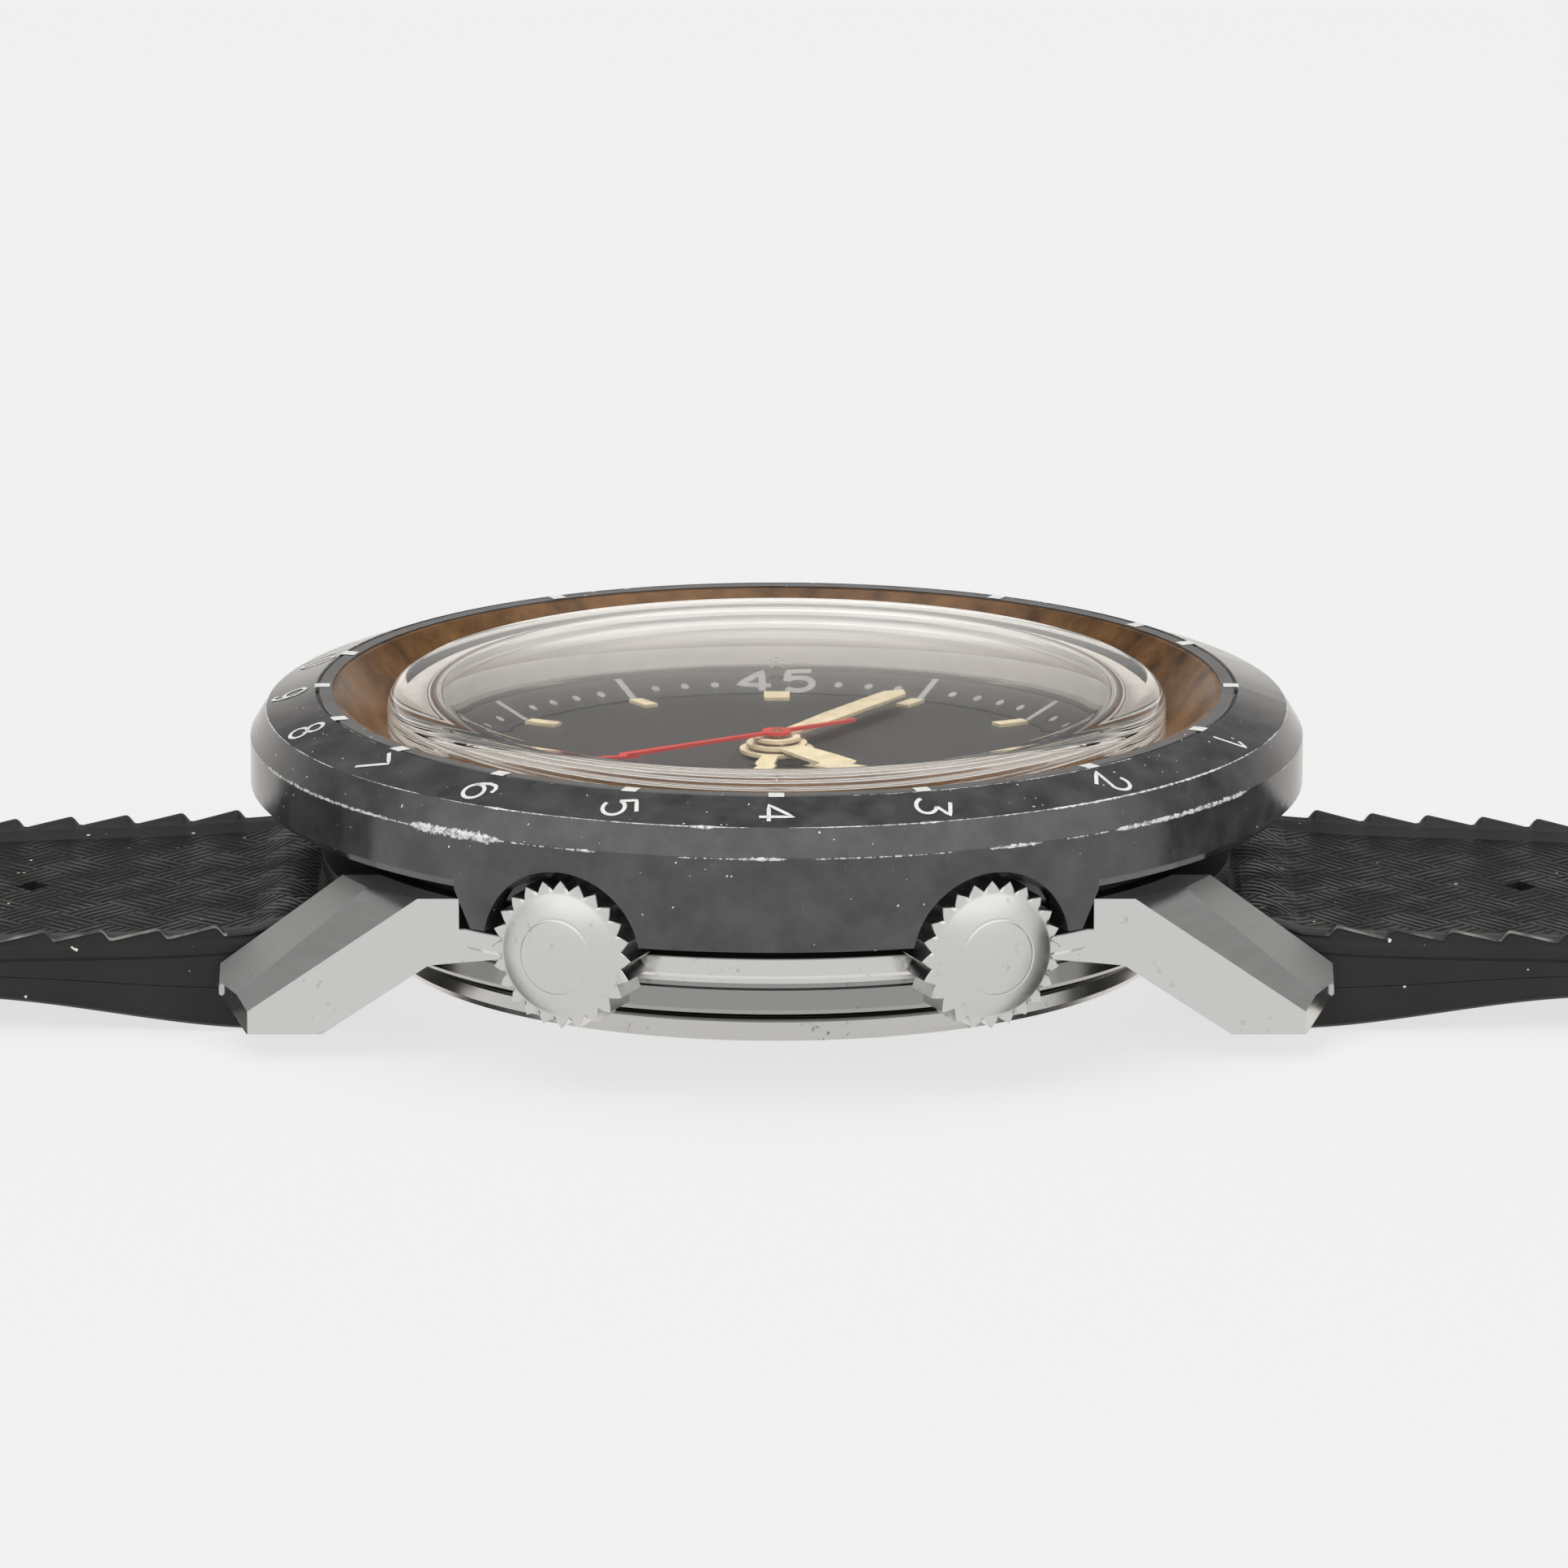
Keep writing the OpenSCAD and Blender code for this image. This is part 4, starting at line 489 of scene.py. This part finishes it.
depth = noise(ruby, places(ruby)[0], 2500.0)
on_shader(ruby, Base_Color=blend(ruby, depth, (0.35, 0.01, 0.05, 1), (0.6, 0.04, 0.1, 1)))
wear(ruby, "jewels")

# ---------------------------------------------------------------- dial
# The dial is a brass disc painted matt charcoal, with a sloping ring round its edge. Minute dots, thin
# hour lines and plain minute numbers are printed on the ring.

charcoal = finish("dial_charcoal", (0.03, 0.029, 0.028), 0.55)
grainy = noise(charcoal, places(charcoal)[0], 3500.0, 4.0)
on_shader(charcoal, Base_Color=blend(charcoal, grainy, (0.018, 0.017, 0.016, 1), (0.042, 0.04, 0.038, 1)))
wear(charcoal, "dial")
DIAL_TOP, LOW_R, LOW_Z, HIGH_R, HIGH_Z = 6.45, 11.1, 6.53, 12.45, 7.12
verts, faces = turned([(11.05, DIAL_TOP + 0.002), (12.6, DIAL_TOP + 0.002), (12.6, 7.1), (HIGH_R, HIGH_Z),
                       (LOW_R, LOW_Z), (11.05, 6.5)], 180)
minute_ring = mesh_piece("minute_ring", verts, faces, charcoal, "case", smooth=False)
outward(minute_ring)
creased(minute_ring, 40)


def on_ring(px, py):
    """Height of the print: 0.012 mm over the ring's straight slope, which rises from 6.53 mm at radius
    11.1 mm to 7.12 mm at 12.45 mm."""
    return LOW_Z + (np.hypot(px, py) - LOW_R) * (HIGH_Z - LOW_Z) / (HIGH_R - LOW_R) + 0.012


MINUTE_R, DOT_AT, DOT_R = 11.77, 11.6, 0.17
verts, faces, base = [], [], 0
for text, clock in (("60", 0), ("15", 90), ("30", 180), ("45", 270)):
    v, f = number_bands(text, 1.25, 1.4, 0.28)
    a = math.radians(-clock)
    px = (MINUTE_R + v[:, 1]) * math.cos(a) + v[:, 0] * math.sin(a)
    py = (MINUTE_R + v[:, 1]) * math.sin(a) - v[:, 0] * math.cos(a)
    verts.append(np.stack([px, py, on_ring(px, py)], axis=1))
    faces += [tuple(base + q for q in quad) for quad in f]
    base += len(v)
for minute in range(60):
    if min(minute % 15, 15 - minute % 15) < 2:
        continue
    a = math.radians(-6 * minute)
    if minute % 5 == 0:
        r = np.array([11.12, 12.42])
        side = np.array([-0.14, 0.14])
        px = (r[:, None] * math.cos(a) - side * math.sin(a)).ravel()
        py = (r[:, None] * math.sin(a) + side * math.cos(a)).ravel()
        faces.append((base, base + 2, base + 3, base + 1))
    else:
        dot = np.linspace(0, 2 * math.pi, 10, endpoint=False)
        px = DOT_AT * math.cos(a) + DOT_R * np.cos(dot)
        py = DOT_AT * math.sin(a) + DOT_R * np.sin(dot)
        faces.append(tuple(range(base, base + 10)))
    verts.append(np.stack([px, py, on_ring(px, py)], axis=1))
    base += len(px)
print_white = finish("print_white", (0.34, 0.33, 0.31), 0.6)
ink = noise(print_white, places(print_white)[0], 4000.0)
on_shader(print_white, Base_Color=blend(print_white, ink, (0.27, 0.26, 0.25, 1), (0.4, 0.39, 0.37, 1)))
dial_print = mesh_piece("dial_print", np.concatenate(verts), faces, print_white, "case", smooth=False)

# ---------------------------------------------------------------- dial markers and hands
# The hour markers and the hands are plated and filled with luminous paint that has aged to cream.
# The seconds hand is lacquered red.

cream = finish("aged_lume", (0.6, 0.5, 0.33), 0.6)
aged = noise(cream, places(cream)[0], 1800.0, 5.0)
on_shader(cream, Base_Color=blend(cream, aged, (0.42, 0.33, 0.2, 1), (0.75, 0.66, 0.46, 1)))
wear(cream, "dial_markers", "hour_hand", "minute_hand", "alarm_hand")
# Each marker is a block from radius 9.7 to 11.0 mm, 1.0 mm wide at the quarters and 0.56 mm elsewhere.
MARKER_H = 0.12
hour = np.arange(12)[:, None]
a, half_wide = np.radians(30 * hour), np.where(hour % 3 == 0, 1.0, 0.56) / 2
r = np.array([9.7] * 4 + [11.0] * 4)
side = half_wide * np.array([-1, -1, 1, 1] * 2)
height = DIAL_TOP + MARKER_H * np.tile([0, 1] * 4, (12, 1))
verts = np.stack([r * np.cos(a) - side * np.sin(a), r * np.sin(a) + side * np.cos(a), height], axis=2).reshape(-1, 3)
block = np.array([(0, 1, 3, 2), (4, 6, 7, 5), (0, 4, 5, 1), (2, 3, 7, 6), (1, 5, 7, 3), (0, 2, 6, 4)])
plots = mesh_piece("lume_plots", verts, (8 * hour[:, :, None] + block).reshape(-1, 4), cream, "case", smooth=False)
outward(plots)
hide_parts("dial_markers")
red = finish("red_lacquer", (0.5, 0.02, 0.015), 0.3)
drift = noise(red, places(red)[0], 900.0)
on_shader(red, Base_Color=blend(red, drift, (0.4, 0.012, 0.01, 1), (0.62, 0.03, 0.02, 1)))
wear(red, "seconds_hand")

# ---------------------------------------------------------------- strap halves
# The strap is moulded black rubber: a panel with a basket weave between two saw-toothed borders, with
# lozenge and round holes. Each half thickens into a hub round its spring bar.

BAR_X, BAR_Z, HUB, FLOOR, THICK, PITCH = 18.4, 1.0, 2.1, -1.1, 2.1, 2.15
BUCKLE_BAR_Z, TIP_AT, TIP_R = 1.15, 106.5, 8.55
LOZENGES, ROUNDS = (10, 18, 26, 34, 42, 50), tuple(62 + 6.5 * i for i in range(7))


def ease(d, a, b):
    """Smooth step from 0 to 1 between two distances."""
    return (1 - np.cos(np.pi * np.clip((d - a) / (b - a), 0, 1))) / 2


def hole_half(d, lozenges, rounds, slot_from):
    """Half width of the holes along the strap: lozenges of 1.3 by 1.5 mm, rounds of 2.4 mm, a slot."""
    h = np.zeros_like(d)
    for at_d in lozenges:
        h = np.maximum(h, 0.75 * np.clip(1 - np.abs(d - at_d) / 0.65, 0, 1))
    for at_d in rounds:
        h = np.maximum(h, np.sqrt(np.clip(1.44 - (d - at_d) ** 2, 0, None)))
    return np.where(d > slot_from, 1.25, h)


def strap_skin(length, drop, sawn_to, width_at, lozenges, rounds, end_hub):
    """A strap half as two half loops of section points swept outwards from its bar. The underside rises
    by 1.2 mm over 13 mm and comes down by the drop; the top follows it at a thickness that falls from 4.2
    to 2.1 mm. The border rises at the start of each tooth and slopes down to the next. The loops' inner
    ends stand apart by the holes' width. Returns points, faces and each face's finish: 0 plain, 1 woven,
    2 tooth crest, painted lighter as a painted highlight."""
    teeth = int(sawn_to / PITCH)
    tooth_parts = np.array([0.0, 0.06, 0.14, 0.19, 0.24, 0.45, 0.7, 0.9])
    d = [-HUB * np.cos(np.linspace(0, np.pi / 2, 14)), np.linspace(0, PITCH, 6),
         (np.arange(1, teeth + 1)[:, None] * PITCH + tooth_parts * PITCH).ravel(),
         np.linspace((teeth + 1) * PITCH, length, 60)]
    d += [np.array([c - 0.65, c - 0.3, c, c + 0.3, c + 0.65]) for c in lozenges]
    d += [c + 1.2 * np.cos(np.linspace(0, np.pi, 13)) for c in rounds]
    if end_hub:
        d += [length + end_hub * np.sin(np.linspace(-np.pi / 2, np.pi / 2, 22)), np.array([69.2, 69.21, 68.8, 68.85])]
    elif length > 100:
        d += [length - 8.5 * (1 - np.cos(np.linspace(0, np.pi / 2, 24)))]
    d = np.unique(np.round(np.concatenate(d), 4))
    under = FLOOR + 1.2 * ease(d, 0, 13) - drop * ease(d, 13, 27)
    low = np.where(d < 0, BAR_Z - np.sqrt(np.clip(HUB ** 2 - d ** 2, 0, None)), under)
    hub_top = BAR_Z + np.sqrt(np.clip(HUB ** 2 - d ** 2, 0, None))
    top = under + THICK + 2.1 * (1 - ease(d, -4, 15))
    top = np.where(d < 0, hub_top, np.maximum(top, np.where(d < HUB, hub_top, -9)))
    if end_hub:
        ball = np.sqrt(np.clip(end_hub ** 2 - (d - length) ** 2, 0, None))
        near = np.abs(d - length) < end_hub
        over, beneath = BUCKLE_BAR_Z + ball, BUCKLE_BAR_Z - ball
        top = np.where(d > length, over, np.where(near, np.maximum(top, over), top))
        low = np.where(d > length, beneath, np.where(near, np.minimum(low, beneath), low))
    phase = np.mod(d / PITCH, 1.0)
    rise = np.interp(phase, [0, 0.06, 0.14, 0.19, 0.24, 1.0], [0, 0.02, 0.24, 0.33, 0.34, 0])
    sawn = (d >= PITCH) & (d <= (teeth + 1) * PITCH)
    tooth = np.where(sawn, rise, 0.0)
    w = width_at(d)
    hole = np.minimum(hole_half(d, lozenges, rounds, 69.205 if end_hub else 1e9), w * 0.5)
    side = np.clip((top - low) / 2.1, 0, 1)
    mid = (top + low) / 2

    def inner(back):
        return np.maximum(np.maximum(w - back, 0.25 * w), hole + 0.02)

    rows = [
        (hole, top - 0.16 * side), (inner(1.7), top - 0.16 * side), (inner(1.5), top - 0.15 * side),
        (inner(0.85), top - 0.04 * side), (inner(0.66), top - 0.02 * side),
        (inner(0.5), top + (0.75 * tooth - 0.02) * side), (inner(0.3), top + (tooth - 0.02) * side),
        (inner(0.1), top + tooth * side), (w, top + (tooth - 0.02) * side), (w + 0.03, top + (tooth - 0.07) * side),
        (w - 0.03, top + (tooth - 0.13) * side), (w - 0.04 + 0.03 * tooth, top - 0.2 * side),
        (w, top - 0.4 * side), (w, top - 0.72 * side), (w - 0.05, top - 0.75 * side), (w - 0.05, top - 0.8 * side),
        (w, top - 0.83 * side), (w, mid - 0.2 * side), (w - 0.03, mid - 0.23 * side), (w, mid - 0.26 * side),
        (w - 0.01, low + 0.4 * side), (w - 0.08, low + 0.16 * side), (w - 0.25, low + 0.04 * side),
        (inner(0.5), low), (hole, low)]
    n, k = len(rows), len(d)
    y = np.stack([r[0] for r in rows])
    z = np.stack([r[1] for r in rows])
    verts, faces, kinds = [], [], []
    j, i = np.meshgrid(np.arange(n), np.arange(k - 1), indexing="ij")
    after = (j + 1) % n
    quads = np.stack([i * n + j, i * n + after, (i + 1) * n + after, (i + 1) * n + j], axis=2)
    kept = (j < n - 1) | ((hole[:-1] > 0) | (hole[1:] > 0))[i]
    panel = (j == 0) & (d[i] > -1.0)
    # The crest faces get the lighter crest finish: a painted highlight along each tooth.
    crest = ((j == 7) | (j == 8)) & sawn[i]
    for half, sign in enumerate((1, -1)):
        verts.append(np.stack([np.broadcast_to(d, y.shape), sign * y, z], axis=2).transpose(1, 0, 2).reshape(-1, 3))
        ends = np.arange(n) + np.array([[0], [k - 1]]) * n
        faces += (quads[kept] + half * n * k).tolist() + (ends + half * n * k).tolist()
        kinds += (panel + 2 * crest)[kept].tolist() + [0, 0]
    return np.concatenate(verts), faces, kinds


def long_width(d):
    """Half width of the long half: 9 mm at the lugs, 8 mm past 45 mm, round at the tip."""
    w = np.interp(d, [3, 45], [9.0, 8.0])
    tip = np.sqrt(np.clip(TIP_R ** 2 - (d - TIP_AT) ** 2, 0.2, None))
    return np.where(d > TIP_AT, np.minimum(w, tip), w)


def short_width(d):
    """Half width of the short half: 9 mm at the lugs, 8 mm past 45 mm, 7.7 mm at the buckle."""
    return np.interp(d, [3, 45, 68.8, 68.85], [9.0, 8.0, 8.0, 7.7])


strap_rubber = finish("strap_rubber", (0.02, 0.02, 0.02), 0.5, Specular_IOR_Level=0.3)
at, x, y, z, away = places(strap_rubber)
specks = span(strap_rubber, noise(strap_rubber, at, 2300.0, 1.0), 0.78, 0.79)
bloom = noise(strap_rubber, at, 260.0, 4.0)
on_shader(strap_rubber, Base_Color=blend(strap_rubber, specks, blend(
    strap_rubber, bloom, (0.01, 0.01, 0.01, 1), (0.022, 0.022, 0.021, 1)), (0.62, 0.6, 0.56, 1)),
    Normal=add(strap_rubber, "Bump", {
        "Strength": 0.25, "Distance": 0.00004, "Height": noise(strap_rubber, at, 3000.0, 3.0)}).outputs[0])

strap_weave = finish("strap_weave", (0.006, 0.006, 0.006), 0.42, Specular_IOR_Level=0.22)
at, x, y, z, away = places(strap_weave)
u = calc(strap_weave, "MULTIPLY", calc(strap_weave, "ADD", x, y), 707.0)
v = calc(strap_weave, "MULTIPLY", calc(strap_weave, "SUBTRACT", x, y), 707.0)
odd = calc(strap_weave, "FLOORED_MODULO", calc(strap_weave, "ADD", calc(
    strap_weave, "FLOOR", calc(strap_weave, "DIVIDE", u, 2.0)), calc(
    strap_weave, "FLOOR", calc(strap_weave, "DIVIDE", v, 2.0))), 2.0)
run = add(strap_weave, "Mix", {0: odd, 2: u, 3: v}).outputs[0]
rib = calc(strap_weave, "SINE", calc(strap_weave, "MULTIPLY", run, 2 * math.pi / 0.4))
arch = calc(strap_weave, "PINGPONG", add(strap_weave, "Mix", {0: odd, 2: v, 3: u}).outputs[0], 1.0)
height = calc(strap_weave, "ADD", calc(strap_weave, "MULTIPLY", rib, 0.4), arch)
dull = span(strap_weave, noise(strap_weave, at, 420.0, 4.0, 0.6), 0.4, 0.65)
specks = span(strap_weave, noise(strap_weave, at, 2100.0, 1.0), 0.785, 0.795)
on_shader(strap_weave, Base_Color=blend(strap_weave, specks, blend(
    strap_weave, dull, (0.002, 0.002, 0.002, 1), (0.007, 0.007, 0.0065, 1)), (0.5, 0.46, 0.4, 1)),
    Roughness=span(strap_weave, dull, 0, 1, 0.36, 0.6),
    Normal=add(strap_weave, "Bump", {"Strength": 0.6, "Distance": 0.00007, "Height": height}).outputs[0])
# The teeth's crests are painted lighter grey than the rubber: a painted highlight along the crest line.
crest_highlight = finish("crest_highlight", (0.09, 0.09, 0.085), 0.5)
at, x, y, z, away = places(crest_highlight)
on_shader(crest_highlight, Base_Color=blend(crest_highlight, span(
    crest_highlight, noise(crest_highlight, at, 900.0, 3.0), 0.4, 0.6), (0.02, 0.02, 0.02, 1), (0.16, 0.16, 0.15, 1)))
for name, side, shape, node in (
        ("long_half", -1, (115.0, 1.2, 104.0, long_width, LOZENGES, ROUNDS, 0), "strap_long"),
        ("short_half", 1, (72.0, 0.0, 36.0, short_width, LOZENGES[:4], (), 1.6), "strap_short")):
    verts, faces, kinds = strap_skin(*shape)
    half = mesh_piece(name, verts * (side, 1, 1) + (side * BAR_X, 0, 0), faces, strap_rubber, node, smooth=False)
    half.data.materials.append(strap_weave)
    half.data.materials.append(crest_highlight)
    half.data.polygons.foreach_set("material_index", kinds)
    outward(half)
    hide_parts(node)

# ---------------------------------------------------------------- keepers
# Two moulded rubber loops hold the strap's tail: one is fixed on the short half, one slides along it.


def rounded(half_a, half_b, middle_b, radius, steps):
    """A rectangle with round corners: four quarter circles of a radius about the corner centres
    (+-half_a, middle_b +- half_b). Returns its points and their outward normals."""
    a = np.radians(np.array([0, 90, 180, 270])[:, None] + np.linspace(0, 90, steps)).ravel()
    corners = np.array([(1, 1), (-1, 1), (-1, -1), (1, -1)]) * (half_a, half_b) + (0, middle_b)
    normals = np.stack([np.cos(a), np.sin(a)], axis=1)
    return np.repeat(corners, steps, axis=0) + radius * normals, normals


def keeper(centre):
    """A loop round the strap: a round-cornered path in Y and Z carries a soft rectangle 5 mm long and
    0.95 mm thick."""
    path, normals = rounded(7.93, 2.28, 2.45, 0.795, 9)
    section, _ = rounded(2.25, 0.225, 0, 0.25, 6)
    n, m = len(path), len(section)
    x = centre + np.tile(section[:, 0], (n, 1))
    yz = path[:, None, :] + normals[:, None, :] * section[None, :, 1:2]
    v = np.concatenate([x[:, :, None], yz], axis=2).reshape(-1, 3)
    i, j = np.meshgrid(np.arange(n), np.arange(m), indexing="ij")
    f = np.stack([i * m + j, i * m + (j + 1) % m, (i + 1) % n * m + (j + 1) % m, (i + 1) % n * m + j], axis=2)
    return v, f.reshape(-1, 4).tolist()


for name, centre, node, body in (("fixed_loop", 82.4, "fixed_keeper", "strap_short"),
                                 ("free_loop", 68.4, "free_keeper", "free_keeper")):
    verts, faces = keeper(centre)
    loop = mesh_piece(name, verts, faces, strap_rubber, body)
    outward(loop)
    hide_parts(node)

# ---------------------------------------------------------------- buckle
# A stamped steel buckle with a loose tongue turns on a bar through the end of the short half.

wear(steel("buckle_steel", (0.68, 0.67, 0.65), 0.22, grain=(400, 4000, 400)), "buckle_frame", "buckle_tongue")

# ---------------------------------------------------------------- floor, light and camera
# The watch lies on a pale sheet under soft light. The world is a pale studio with darker flags at both
# sides, which only polished surfaces show.

SHEET, UNDER = 3000, 0.02
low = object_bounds()[0][2] / MM - UNDER
floor_white = finish("floor_white", (0.69, 0.69, 0.69), 0.9)
sheet = mesh_piece("floor", [(x * SHEET, y * SHEET, low) for x, y in ((-1, -1), (1, -1), (1, 1), (-1, 1))],
                   [(0, 1, 2, 3)], floor_white, None)
tree = floor_white.node_tree
path = add(floor_white, "LightPath", {})
glow = add(floor_white, "Emission", {0: (0.853, 0.853, 0.853, 1), 1: 1.0})
share = calc(floor_white, "MULTIPLY", path.outputs["Is Camera Ray"], 0.85)
both = add(floor_white, "MixShader", {0: share, 1: tree.nodes["Principled BSDF"].outputs[0], 2: glow.outputs[0]})
tree.links.new(both.outputs[0], tree.nodes["Material Output"].inputs[0])
sheet.visible_glossy = False

world = bpy.data.worlds.new("studio")
bpy.context.scene.world = world
world.use_nodes = True
world.node_tree.nodes.clear()
path = add(world, "LightPath", {})
way = add(world, "TexCoord", {}).outputs["Generated"]
east, north, up = add(world, "SeparateXYZ", {0: way}).outputs
turn = calc(world, "ARCTAN2", calc(world, "ABSOLUTE", east), calc(world, "MULTIPLY", north, -1.0))
turn = calc(world, "ADD", turn, calc(world, "MULTIPLY", east, 0.12))
flag = calc(world, "MULTIPLY", span(world, turn, math.radians(98), math.radians(100)),
            span(world, turn, math.radians(130), math.radians(138), 1, 0))
flag = calc(world, "MULTIPLY", flag, span(world, up, 0.05, 0.1, 1, 0))
ahead = span(world, north, -0.1, 0.3)
front = span(world, up, 0.35, 0.55, 0.75, 1.15)
behind = span(world, up, 0.06, 0.34, 0.92, 0.18)
sky = add(world, "Mix", {0: ahead, 2: front, 3: behind}).outputs[0]
high = calc(world, "MAXIMUM", sky, span(world, up, 0.86, 0.9))
studio_grey = calc(world, "MULTIPLY", high, span(world, flag, 0, 1, 1, 0.03))
background = add(world, "Mix", {0: path.outputs["Is Camera Ray"], 2: studio_grey, 3: 0.879}).outputs[0]
warm = calc(world, "MULTIPLY", calc(world, "SUBTRACT", 1.0, path.outputs["Is Camera Ray"]), calc(
    world, "MULTIPLY", ahead, span(world, up, 0.3, 0.5, 1, 0)))
level = calc(world, "SUBTRACT", 1.0, calc(world, "MULTIPLY", path.outputs["Is Diffuse Ray"], 0.4))
tinted = add(world, "CombineColor", {
    0: background, 1: calc(world, "MULTIPLY", background, span(world, warm, 0, 1, 1, 0.97)),
    2: calc(world, "MULTIPLY", background, span(world, warm, 0, 1, 1, 0.93))})
ground = add(world, "Background", {0: tinted.outputs[0], 1: level})
add(world, "OutputWorld", {0: ground.outputs[0]})

for name, place, size, power in (("key", (-0.25, -0.35, 0.75), 0.6, 5.0), ("fill", (0.5, -0.5, 0.35), 0.5, 2.0),
                                 ("top", (0.05, 0.3, 0.9), 0.8, 5.0)):
    lamp = bpy.data.lights.new(name, "AREA")
    lamp.size, lamp.energy = size, power
    lamp_object = bpy.data.objects.new(name, lamp)
    bpy.context.scene.collection.objects.link(lamp_object)
    lamp_object.location = place
    lamp_object.visible_glossy = False
    aim = -np.array(place)
    lamp_object.rotation_euler = Vector(aim).to_track_quat("-Z", "Y").to_euler()

camera = bpy.data.cameras.new("camera")
camera.sensor_width, camera.lens = 36.0, 265.2
camera_object = bpy.data.objects.new("camera", camera)
bpy.context.scene.collection.objects.link(camera_object)
rise, reach, aim_x, aim_z = math.radians(13.9), 0.44, 0.00028, 0.00624
camera_object.location = (aim_x, -reach * math.cos(rise), aim_z + reach * math.sin(rise))
camera_object.rotation_euler = (math.pi / 2 - rise, 0, 0)
camera.clip_start, camera.clip_end = 0.01, 20
bpy.context.scene.camera = camera_object
bpy.context.scene.view_settings.view_transform = "Standard"
# Light turns many times inside the thick crystal before it leaves it.
bpy.context.scene.cycles.max_bounces = 24
bpy.context.scene.cycles.glossy_bounces = 20
bpy.context.scene.cycles.transmission_bounces = 24
